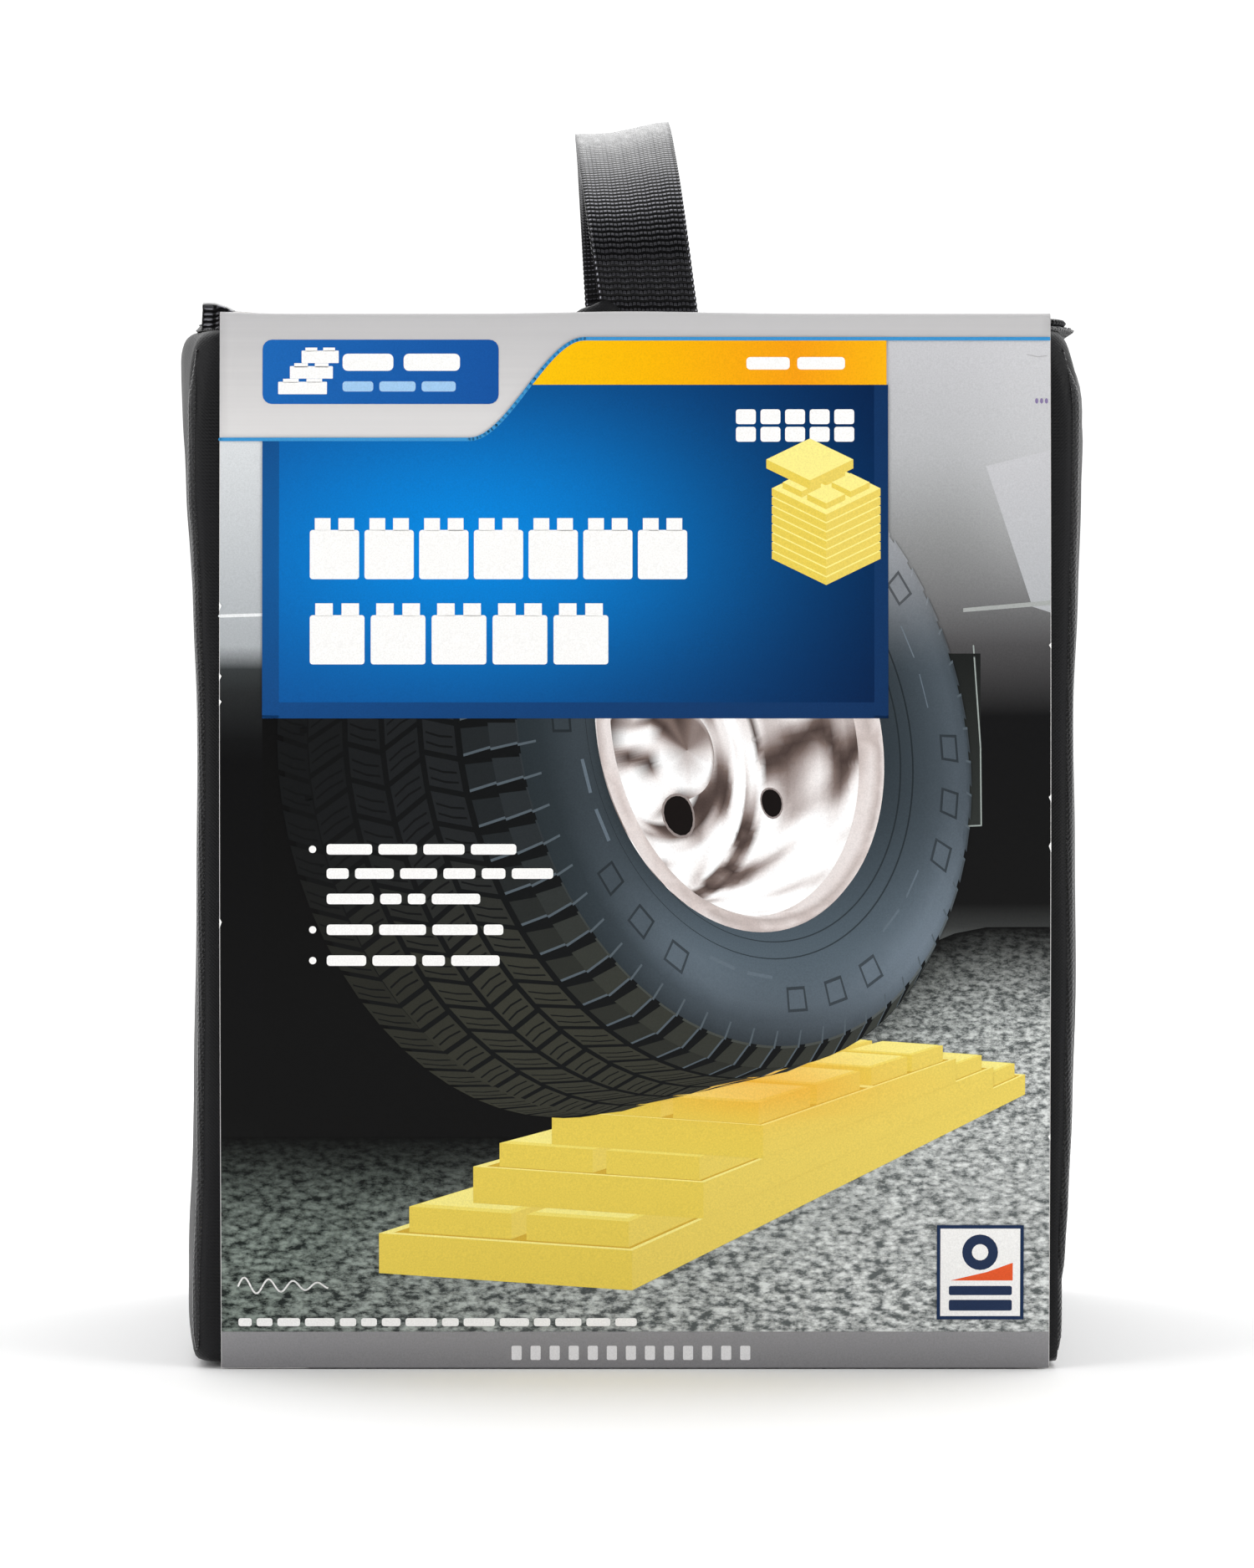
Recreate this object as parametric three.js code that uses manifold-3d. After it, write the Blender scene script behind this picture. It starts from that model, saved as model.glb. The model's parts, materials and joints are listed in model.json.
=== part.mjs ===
// Leveling block set: ten interlocking wheel leveling blocks stacked in a zippered nylon carry bag,
// with a printed cardboard sleeve folded round the bag. Millimetres, +Z up, the sleeve's printed front
// faces -Y. The origin is the centre of the base, on the surface that the set stands on.
import * as THREE from 'three';
import { mergeVertices } from 'three/addons/utils/BufferGeometryUtils.js';
import Module from 'manifold-3d';

const wasm = await Module();
wasm.setup();

// Driving dimensions.
const GAP = 0.3; // clearance left between neighbouring pieces

const BLOCK_COUNT = 10;
const BLOCK_SIDE = 215.9; // 8.5 in
const BLOCK_PITCH = 25.4; // 1 in from one stacked block to the next
const BLOCK_BODY = BLOCK_PITCH - GAP; // height of a block without its pegs
const BLOCK_TAPER = 0.8; // each side stands this far in at the bottom
const BLOCK_CORNER = 7;
const BLOCK_WALL = 3;
const RIM_WIDTH = 3.4;
const RIM_DROP = 2; // the deck lies this far below the rim
const DECK = 2.5;
const WEB_LEG = 15; // size of the webs in the deck's corners
const PEG_SIDE = 70;
const PEG_HEIGHT = 12.4; // above the rim
const PEG_CORNER = 11;
const PEG_WALL = 2.5;
const PEG_CENTRE = BLOCK_SIDE / 4; // so that blocks also lock together half a block apart
const SOCKET_SIDE = 71;
const SOCKET_WALL = 2.4;
const RIB = 2;
const RIB_RISE = 13.2; // the ribs inside a peg start here, above the peg of the block below

const CARD = 0.6; // cardboard thickness
const CARD_HALF_WIDTH = 106.5;
const SLEEVE_HALF_DEPTH = 116; // outer faces of the sleeve's front and back
const CARD_TOP = 271.2; // top face of the sleeve
const FLAP_HALF_WIDTH = 103;
const FLAP_RISE = 19; // height of the flap glued inside the sleeve's front

const FABRIC = 0.9; // nylon thickness
const BAG_HALF = 114.3; // 9 in bag, outer faces of its front and back
const BAG_BULGE = 3.4; // the bag's sides belly out by this much
const BAG_WALL_TOP = 267.2;
const BAG_BASE = CARD + GAP;
const BINDING = 2; // width of the bound seams inside the bag's corners

const TAPE = 0.5; // zipper tape thickness
const TAPE_BASE = BAG_WALL_TOP + 0.4;
const ZIP_LINE = 108.5; // the zipper runs this far from the centre, on three sides
const ZIP_CORNER = 14; // radius of its middle line at the two front corners
const ZIP_SPLIT = 0.6; // half the gap between the two coils
const COIL_WIDTH = 2.5;
const COIL_HEIGHT = 1.8;
const COIL_BASE = TAPE_BASE + TAPE + GAP;
const LID_TAPE_INNER = 96;
const BODY_TAPE_OUTER = 113.9;
const ZIP_END = 103.5; // the zipper stops here, short of the back
const STOP_LENGTH = 2;

const LID_BASE = 268.6;
const LID_THICKNESS = 0.8;
const LID_HALF = 104.9;
const LID_BACK = 107;
const HINGE_TAPE_BACK = 113;

const STRAP_WIDTH = 25.4; // 1 in webbing
const STRAP = 1.8;
const STRAP_HALF_SPAN = 100; // distance of each sewn end from the middle
const ARCH_BASE = 284.6; // above this the strap curves over
const ARCH_RISE = 41;
const FLOP_AXIS_Z = 270; // the handle flops sideways about a line at this height
const ROOT_RADIUS = 22; // the sewn ends reach this far from that line
const FOOT = 0.6; // thickness of the flattened sewn end
const FOOT_LENGTH = 30;
const SLOT_LENGTH = 29;
const SLOT_WIDTH = 5;

const SLIDER_Y = 98; // where the slider rests, with the zipper closed
const SLIDER_LENGTH = 9;
const SLIDER_PLATE = 0.8;
const SLIDER_OUTER = 113;
const TAB_X = 110.8;
const TAB_Z = 273; // height of the pull tab's pivot
const TAB_WIDTH = 5.2;
const TAB_LENGTH = 24;
const TAB_THICKNESS = 1;

// An arc takes twice as many segments as its curveSegments.
const CHAMFER = 0.5;
const COARSE = 1;
const SMOOTH = 3;

const finish = (color, roughness, metalness = 0) =>
  new THREE.MeshStandardMaterial({ color, roughness, metalness });

const FINISHES = {
  block: finish(0xe9bf14, 0.45),
  nylon: finish(0x17171a, 0.7),
  webbing: finish(0x121214, 0.75),
  tape: finish(0x151517, 0.8),
  coil: finish(0x1b1b1e, 0.4),
  metal: finish(0x2a2a2c, 0.35, 0.9),
  print: finish(0x9fb2c2, 0.3),
  board: finish(0xd8d5cd, 0.6),
};

const object = new THREE.Group();

function place(name, look, geometry) {
  const mesh = new THREE.Mesh(geometry, FINISHES[look]);
  mesh.name = name;
  object.add(mesh);
  return mesh;
}

// A box between two opposite corners.
function box([x0, y0, z0], [x1, y1, z1]) {
  const geometry = new THREE.BoxGeometry(x1 - x0, y1 - y0, z1 - z0);
  return geometry.translate((x0 + x1) / 2, (y0 + y1) / 2, (z0 + z1) / 2);
}

function roundedSquare(side, radius, cx = 0, cy = 0) {
  const shape = new THREE.Shape();
  const reach = side / 2 - radius;
  shape.absarc(cx + reach, cy + reach, radius, 0, Math.PI * 0.5);
  shape.absarc(cx - reach, cy + reach, radius, Math.PI * 0.5, Math.PI);
  shape.absarc(cx - reach, cy - reach, radius, Math.PI, Math.PI * 1.5);
  shape.absarc(cx + reach, cy - reach, radius, Math.PI * 1.5, Math.PI * 2);
  return shape;
}

function square(half, cx, cy) {
  const corners = [[1, 1], [-1, 1], [-1, -1], [1, -1]];
  return new THREE.Shape(corners.map(([sx, sy]) => new THREE.Vector2(cx + sx * half, cy + sy * half)));
}

// Extrudes a plan outline upwards from z0 to z1.
function rise(shape, z0, z1, curveSegments = COARSE) {
  const depth = z1 - z0;
  const geometry = new THREE.ExtrudeGeometry(shape, { depth, bevelEnabled: false, curveSegments });
  return geometry.translate(0, 0, z0);
}

// Extrudes an outline drawn in the Y-Z plane from x0 to x1.
function sideways(shape, x0, x1, curveSegments = SMOOTH) {
  const depth = x1 - x0;
  const geometry = new THREE.ExtrudeGeometry(shape, { depth, bevelEnabled: false, curveSegments });
  const turn = new THREE.Matrix4().makeBasis(
    new THREE.Vector3(0, 1, 0),
    new THREE.Vector3(0, 0, 1),
    new THREE.Vector3(1, 0, 0),
  );
  return geometry.applyMatrix4(turn).translate(x0, 0, 0);
}

// A manifold-3d solid, for joining and cutting.
function solid(geometry) {
  const bare = geometry.clone();
  bare.deleteAttribute('normal');
  bare.deleteAttribute('uv');
  const merged = mergeVertices(bare);
  const vertProperties = new Float32Array(merged.attributes.position.array);
  const triVerts = new Uint32Array(merged.index.array);
  return new wasm.Manifold(new wasm.Mesh({ numProp: 3, vertProperties, triVerts }));
}

function geometryOf(manifold) {
  const mesh = manifold.getMesh();
  const geometry = new THREE.BufferGeometry();
  geometry.setAttribute('position', new THREE.BufferAttribute(mesh.vertProperties, 3));
  geometry.setIndex(new THREE.BufferAttribute(mesh.triVerts, 1));
  geometry.computeVertexNormals();
  return geometry;
}

const join = (geometries) => geometries.map(solid).reduce((whole, next) => whole.add(next));

// Leveling blocks

const UNDER_DECK = BLOCK_BODY - RIM_DROP - DECK; // the underside is hollow up to here
const PEG_CENTRES = [-PEG_CENTRE, PEG_CENTRE].flatMap((x) => [
  [x, -PEG_CENTRE],
  [x, PEG_CENTRE],
]);

// The tapered square outside, with the deck sunk inside a raised rim.
function blockShell() {
  const outside = rise(roundedSquare(BLOCK_SIDE, BLOCK_CORNER), 0, BLOCK_BODY);
  const points = outside.attributes.position;
  const bottomScale = 1 - (2 * BLOCK_TAPER) / BLOCK_SIDE;
  for (let i = 0; i < points.count; i += 1) {
    if (points.getZ(i) < BLOCK_BODY / 2) {
      points.setX(i, points.getX(i) * bottomScale);
      points.setY(i, points.getY(i) * bottomScale);
    }
  }
  const recess = roundedSquare(BLOCK_SIDE - 2 * RIM_WIDTH, BLOCK_CORNER - 2);
  return solid(outside).subtract(solid(rise(recess, BLOCK_BODY - RIM_DROP, BLOCK_BODY + 1)));
}

// A triangular web that stiffens one corner of the deck.
function cornerWeb(cx, cy) {
  const reach = BLOCK_SIDE / 2 - RIM_WIDTH + 0.5;
  const corner = (inX, inY) => new THREE.Vector2(Math.sign(cx) * (reach - inX), Math.sign(cy) * (reach - inY));
  const outline = [corner(WEB_LEG, 0), corner(2, 0), corner(2, 2), corner(0, 2), corner(0, WEB_LEG)];
  return rise(new THREE.Shape(outline), BLOCK_BODY - RIM_DROP - 1, BLOCK_BODY - 0.8);
}

// The square wall round the pocket that takes the peg of the block below.
function socketWall(cx, cy) {
  const wall = square(SOCKET_SIDE / 2 + SOCKET_WALL, cx, cy);
  wall.holes.push(square(SOCKET_SIDE / 2, cx, cy));
  return rise(wall, 0, UNDER_DECK + 0.5);
}

// The two long ribs that cross between the sockets.
function underRibs() {
  const far = BLOCK_SIDE / 2 - BLOCK_WALL;
  const top = UNDER_DECK + 0.5;
  return [
    box([-far, -RIB / 2, 0], [far, RIB / 2, top]),
    box([-RIB / 2, -far, 0], [RIB / 2, far, top]),
  ];
}

// The cross of ribs inside a hollow peg.
function pegRibs(cx, cy) {
  const half = PEG_SIDE / 2 - PEG_WALL / 2;
  const top = BLOCK_BODY + PEG_HEIGHT - PEG_WALL / 2;
  return [
    box([cx - half, cy - RIB / 2, RIB_RISE], [cx + half, cy + RIB / 2, top]),
    box([cx - RIB / 2, cy - half, RIB_RISE], [cx + RIB / 2, cy + half, top]),
  ];
}

function blockGeometry() {
  let block = blockShell();
  for (const [cx, cy] of PEG_CENTRES) {
    const peg = rise(roundedSquare(PEG_SIDE, PEG_CORNER, cx, cy), UNDER_DECK, BLOCK_BODY + PEG_HEIGHT);
    block = block.add(join([peg, cornerWeb(cx, cy)]));
  }
  const hollow = roundedSquare(BLOCK_SIDE - 2 * (BLOCK_TAPER + BLOCK_WALL), BLOCK_CORNER - 3);
  block = block.subtract(solid(rise(hollow, -1, UNDER_DECK, CHAMFER)));
  for (const [cx, cy] of PEG_CENTRES) {
    const inside = roundedSquare(PEG_SIDE - 2 * PEG_WALL, PEG_CORNER - PEG_WALL, cx, cy);
    const top = BLOCK_BODY + PEG_HEIGHT - PEG_WALL;
    block = block.subtract(solid(rise(inside, UNDER_DECK - 1, top, CHAMFER)));
    block = block.add(join([socketWall(cx, cy), ...pegRibs(cx, cy)]));
  }
  return geometryOf(block.add(join(underRibs())));
}

// Zipper: flat bands that run along the left side, round the front and back along the right side

// One band, between two distances from the bag's middle.
function zipBand(inner, outer, z0, z1, end) {
  const centre = ZIP_LINE - ZIP_CORNER;
  const band = new THREE.Shape();
  band.moveTo(outer, end);
  band.absarc(centre, -centre, outer - centre, 0, -Math.PI * 0.5, true);
  band.absarc(-centre, -centre, outer - centre, -Math.PI * 0.5, -Math.PI, true);
  band.lineTo(-outer, end);
  band.lineTo(-inner, end);
  band.absarc(-centre, -centre, inner - centre, -Math.PI, -Math.PI * 0.5);
  band.absarc(centre, -centre, inner - centre, -Math.PI * 0.5, 0);
  band.lineTo(inner, end);
  return rise(band, z0, z1, SMOOTH);
}

// Handle: webbing sewn to the lid at both ends, arched from front to back

function archOutline(offset) {
  const points = [];
  const steps = 36;
  for (let i = 0; i <= steps; i += 1) {
    const angle = (Math.PI * i) / steps;
    const y = -(STRAP_HALF_SPAN + offset) * Math.cos(angle);
    const z = ARCH_BASE + (ARCH_RISE + offset) * Math.sin(angle);
    points.push(new THREE.Vector2(y, z));
  }
  return points;
}

function strapSolid() {
  const outer = archOutline(STRAP / 2);
  const inner = archOutline(-STRAP / 2).reverse();
  const foot = LID_BASE + LID_THICKNESS + GAP;
  const leg = (side, offset) => new THREE.Vector2(side * (STRAP_HALF_SPAN + offset), foot);
  const outline = [leg(-1, STRAP / 2), ...outer, leg(1, STRAP / 2)];
  outline.push(leg(1, -STRAP / 2), ...inner, leg(-1, -STRAP / 2));
  return solid(sideways(new THREE.Shape(outline), -STRAP_WIDTH / 2, STRAP_WIDTH / 2));
}

// A cylinder along the line that the handle flops about, which divides its fixed and loose lengths.
function flopCylinder(radius, y0, y1) {
  const cylinder = new THREE.CylinderGeometry(radius, radius, y1 - y0, 48);
  return solid(cylinder.translate(0, (y0 + y1) / 2, 0).translate(0, 0, FLOP_AXIS_Z));
}

function handleRoot(side) {
  const middle = side * STRAP_HALF_SPAN;
  const leg = strapSolid().intersect(flopCylinder(ROOT_RADIUS, middle - 10, middle + 10));
  const base = LID_BASE + LID_THICKNESS + GAP;
  const ends = [middle + (side * STRAP) / 2, middle - side * FOOT_LENGTH].sort((a, b) => a - b);
  const foot = box([-STRAP_WIDTH / 2, ends[0], base], [STRAP_WIDTH / 2, ends[1], base + FOOT]);
  return geometryOf(leg.add(solid(foot)));
}

// Cardboard sleeve

function sleeveTop() {
  const reach = SLEEVE_HALF_DEPTH - CARD - 0.4;
  const panel = box([-CARD_HALF_WIDTH, -reach, CARD_TOP - CARD], [CARD_HALF_WIDTH, reach, CARD_TOP]);
  const slot = (y) => box(
    [-SLOT_LENGTH / 2, y - SLOT_WIDTH / 2, CARD_TOP - 2 * CARD],
    [SLOT_LENGTH / 2, y + SLOT_WIDTH / 2, CARD_TOP + CARD],
  );
  return geometryOf(solid(panel).subtract(join([slot(-STRAP_HALF_SPAN), slot(STRAP_HALF_SPAN)])));
}

// Bag side: a sheet that bellies outwards between its front and back edges.
function bulgedSide(side) {
  const reach = BAG_HALF - FABRIC - GAP;
  const bow = (offset) => {
    const curve = new THREE.QuadraticBezierCurve(
      new THREE.Vector2(side * (BAG_HALF - offset), -reach),
      new THREE.Vector2(side * (BAG_HALF + 2 * BAG_BULGE - offset), 0),
      new THREE.Vector2(side * (BAG_HALF - offset), reach),
    );
    return curve.getPoints(10);
  };
  const outline = [...bow(0), ...bow(FABRIC).reverse()];
  return rise(new THREE.Shape(outline), BAG_BASE, BAG_WALL_TOP);
}

// Zipper slider: it holds the bag's coil between two plates, open on the lid's side
function sliderGeometry() {
  const [y0, y1] = [SLIDER_Y - SLIDER_LENGTH / 2, SLIDER_Y + SLIDER_LENGTH / 2];
  const low = TAPE_BASE - 0.4 - SLIDER_PLATE;
  const high = COIL_BASE + COIL_HEIGHT + GAP;
  const inner = ZIP_LINE - 0.3;
  const coilEdge = ZIP_LINE + ZIP_SPLIT + COIL_WIDTH;
  const lug = (x) => box([x, SLIDER_Y - 0.8, high + 0.1], [x + 0.8, SLIDER_Y + 0.8, TAB_Z + 0.9]);
  const bar = new THREE.CylinderGeometry(0.6, 0.6, 3.6, 12).rotateZ(Math.PI / 2);
  return geometryOf(join([
    box([inner, y0, low], [SLIDER_OUTER, y1, low + SLIDER_PLATE]),
    box([inner, y0, high], [SLIDER_OUTER, y1, high + SLIDER_PLATE]),
    box([inner, y0, low], [inner + 0.6, y1, high + SLIDER_PLATE]),
    box([coilEdge + GAP, y0, COIL_BASE], [SLIDER_OUTER, y1, high + 0.1]),
    lug(TAB_X - 2),
    lug(TAB_X + 1.2),
    bar.translate(TAB_X, SLIDER_Y, TAB_Z),
  ]));
}

// Pull tab: a flat tongue with an eye round the slider's bar
function tabGeometry() {
  const eye = new THREE.Shape();
  eye.absarc(SLIDER_Y, TAB_Z, 1.4, 0, Math.PI * 2);
  const hole = new THREE.Path();
  hole.absarc(SLIDER_Y, TAB_Z, 0.9, 0, Math.PI * 2, true);
  eye.holes.push(hole);
  const half = TAB_THICKNESS / 2;
  const neck = box([TAB_X - 0.8, SLIDER_Y - 4, TAB_Z - half], [TAB_X + 0.8, SLIDER_Y - 1.1, TAB_Z + half]);
  const tongue = roundedTongue().translate(0, 0, TAB_Z - half);
  return geometryOf(join([sideways(eye, TAB_X - 0.8, TAB_X + 0.8, 4), neck, tongue]));
}

function roundedTongue() {
  const [y0, y1] = [SLIDER_Y - TAB_LENGTH, SLIDER_Y - 3];
  const half = TAB_WIDTH / 2;
  const shape = new THREE.Shape();
  shape.moveTo(TAB_X + 1.4, y1);
  shape.lineTo(TAB_X - 1.4, y1);
  shape.lineTo(TAB_X - half, y1 - 3);
  shape.absarc(TAB_X, y0 + half, half, Math.PI, Math.PI * 2);
  shape.lineTo(TAB_X + half, y1 - 3);
  return rise(shape, 0, TAB_THICKNESS, SMOOTH);
}

// Assembly

const firstBlock = BAG_BASE + FABRIC + 0.2;
const stackable = blockGeometry();
for (let i = 0; i < BLOCK_COUNT; i += 1) {
  const name = `leveling_block_${String(i + 1).padStart(2, '0')}`;
  place(name, 'block', stackable).position.z = firstBlock + i * BLOCK_PITCH;
}

const wallInside = BAG_HALF - FABRIC;
const baseHalf = wallInside - GAP;
const coilTop = COIL_BASE + COIL_HEIGHT;

place('bag_front_panel', 'nylon', box([-BAG_HALF, -BAG_HALF, BAG_BASE], [BAG_HALF, -wallInside, BAG_WALL_TOP]));
place('bag_back_panel', 'nylon', box([-BAG_HALF, wallInside, BAG_BASE], [BAG_HALF, BAG_HALF, BAG_WALL_TOP]));
place('bag_left_panel', 'nylon', bulgedSide(-1));
place('bag_right_panel', 'nylon', bulgedSide(1));
place('bag_base_panel', 'nylon', box([-baseHalf, -baseHalf, BAG_BASE], [baseHalf, baseHalf, BAG_BASE + FABRIC]));

const bindingAt = baseHalf - BINDING - GAP;
for (const [end, sy] of [['front', -1], ['back', 1]]) {
  for (const [hand, sx] of [['left', -1], ['right', 1]]) {
    const corner = box([-BINDING / 2, -BINDING / 2, firstBlock], [BINDING / 2, BINDING / 2, BAG_WALL_TOP]);
    const reach = bindingAt + BINDING / 2;
    place(`seam_binding_${end}_${hand}`, 'tape', corner).position.set(sx * reach, sy * reach, 0);
  }
}

const lidCoilInner = ZIP_LINE - ZIP_SPLIT - COIL_WIDTH;
const lidCoilOuter = ZIP_LINE - ZIP_SPLIT;
const bodyCoilInner = ZIP_LINE + ZIP_SPLIT;
const bodyCoilOuter = ZIP_LINE + ZIP_SPLIT + COIL_WIDTH;
const tapeTop = TAPE_BASE + TAPE;

place('zipper_tape_bag', 'tape', zipBand(bodyCoilInner, BODY_TAPE_OUTER, TAPE_BASE, tapeTop, LID_BACK));
place('zipper_coil_bag', 'coil', zipBand(bodyCoilInner, bodyCoilOuter, COIL_BASE, coilTop, ZIP_END));
place('zipper_tape_lid', 'tape', zipBand(LID_TAPE_INNER, lidCoilOuter, TAPE_BASE, tapeTop, ZIP_END));
place('zipper_coil_lid', 'coil', zipBand(lidCoilInner, lidCoilOuter, COIL_BASE, coilTop, ZIP_END));

const stopY = ZIP_END + 0.8;
const stopEnd = stopY + STOP_LENGTH;
place('zipper_bottom_stop', 'metal', box([-bodyCoilOuter, stopY, COIL_BASE], [-lidCoilInner, stopEnd, coilTop]));
place('zipper_top_stop', 'metal', box([bodyCoilInner, stopY, COIL_BASE], [bodyCoilOuter, stopEnd, coilTop]));

const lidShape = new THREE.Shape();
lidShape.moveTo(LID_HALF, LID_BACK);
lidShape.lineTo(-LID_HALF, LID_BACK);
lidShape.absarc(ZIP_CORNER - ZIP_LINE, ZIP_CORNER - ZIP_LINE, LID_HALF + ZIP_CORNER - ZIP_LINE, Math.PI, Math.PI * 1.5);
lidShape.absarc(ZIP_LINE - ZIP_CORNER, ZIP_CORNER - ZIP_LINE, LID_HALF + ZIP_CORNER - ZIP_LINE, Math.PI * 1.5, Math.PI * 2);
const lidTop = LID_BASE + LID_THICKNESS;
place('bag_lid_panel', 'nylon', rise(lidShape, LID_BASE, lidTop, SMOOTH));
place('lid_hinge_tape', 'tape', box([-LID_HALF, LID_BACK + GAP, LID_BASE], [LID_HALF, HINGE_TAPE_BACK, lidTop]));

place('handle_root_front', 'webbing', handleRoot(-1));
place('handle_root_back', 'webbing', handleRoot(1));
const looseArch = flopCylinder(ROOT_RADIUS + GAP, -2 * STRAP_HALF_SPAN, 2 * STRAP_HALF_SPAN);
place('handle_strap', 'webbing', geometryOf(strapSolid().subtract(looseArch)));

place('zipper_slider', 'metal', sliderGeometry());
place('zipper_pull_tab', 'metal', tabGeometry());

const cardInside = SLEEVE_HALF_DEPTH - CARD;
const uprightTop = CARD_TOP - CARD - GAP;
const base = cardInside - GAP;
const flapBack = base - FABRIC / 2;
const w = CARD_HALF_WIDTH;
place('sleeve_front_panel', 'print', box([-w, -SLEEVE_HALF_DEPTH, GAP], [w, -cardInside, uprightTop]));
place('sleeve_back_panel', 'print', box([-w, cardInside, GAP], [w, SLEEVE_HALF_DEPTH, uprightTop]));
place('sleeve_top_panel', 'print', sleeveTop());
place('sleeve_bottom_panel', 'board', box([-w, -base, 0], [w, base, CARD]));
place('sleeve_glue_flap', 'board', box(
  [-FLAP_HALF_WIDTH, -base, CARD + GAP],
  [FLAP_HALF_WIDTH, -flapBack, CARD + GAP + FLAP_RISE],
));

export default object;
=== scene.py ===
"""Looks of the leveling block set: stacked blocks in a nylon carry bag, in a printed card sleeve."""

import json
import math
import random

import bpy
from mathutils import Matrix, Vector, noise


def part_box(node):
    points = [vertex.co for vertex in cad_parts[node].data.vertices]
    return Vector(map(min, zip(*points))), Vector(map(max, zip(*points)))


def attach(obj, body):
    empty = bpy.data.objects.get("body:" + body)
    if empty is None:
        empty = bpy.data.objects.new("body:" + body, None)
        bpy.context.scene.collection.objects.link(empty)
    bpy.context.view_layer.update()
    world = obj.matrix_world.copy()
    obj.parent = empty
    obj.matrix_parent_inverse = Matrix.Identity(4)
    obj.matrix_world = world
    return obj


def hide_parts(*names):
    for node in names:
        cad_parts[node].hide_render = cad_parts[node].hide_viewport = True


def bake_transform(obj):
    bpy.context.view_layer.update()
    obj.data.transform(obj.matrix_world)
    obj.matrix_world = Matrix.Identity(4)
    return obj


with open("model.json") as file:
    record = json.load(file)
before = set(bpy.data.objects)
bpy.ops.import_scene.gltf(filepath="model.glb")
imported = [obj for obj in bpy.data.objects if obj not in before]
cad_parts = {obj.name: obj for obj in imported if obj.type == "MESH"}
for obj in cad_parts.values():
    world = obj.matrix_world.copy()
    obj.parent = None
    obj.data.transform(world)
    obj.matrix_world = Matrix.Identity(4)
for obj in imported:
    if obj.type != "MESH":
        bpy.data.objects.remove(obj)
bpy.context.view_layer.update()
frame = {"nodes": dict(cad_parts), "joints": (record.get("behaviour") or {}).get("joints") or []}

MM = 0.001
BLOCKS = sorted(n for n in frame["nodes"] if n.startswith("leveling_block_"))


def extent(node):
    """Lowest and highest corner of a CAD node, in millimetres."""
    low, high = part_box(node)
    return Vector(low) / MM, Vector(high) / MM


FRONT_LOW, FRONT_HIGH = extent("sleeve_front_panel")
COIL_LOW, COIL_HIGH = extent("zipper_coil_bag")
BAG_HIGH = extent("bag_front_panel")[1]
LID_HIGH = extent("bag_lid_panel")[1]
LID_COIL_HIGH = extent("zipper_coil_lid")[1]
STRAP_HIGH = extent("handle_strap")[1]

CARD_HALF = FRONT_HIGH.x
CARD_TOP = extent("sleeve_top_panel")[1].z
FRONT_Y = FRONT_LOW.y
BACK_Y = extent("sleeve_back_panel")[1].y
CARD_BASE = extent("sleeve_bottom_panel")[1].z
BAG_HALF = BAG_HIGH.x
BLOCK_HALF = extent("leveling_block_10")[1].x
TAPE_Z = extent("zipper_tape_bag")[1].z
PIVOTS = {j["name"]: Vector(j["pos_m"]) / MM for j in frame["joints"] if "pos_m" in j}


# Node materials


def srgb(text):
    """A colour such as "c4c2c3", turned into the linear values that shaders use."""
    parts = [int(text[i : i + 2], 16) / 255 for i in (0, 2, 4)]
    linear = [p / 12.92 if p <= 0.04045 else ((p + 0.055) / 1.055) ** 2.4 for p in parts]
    return (*linear, 1.0)


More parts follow.
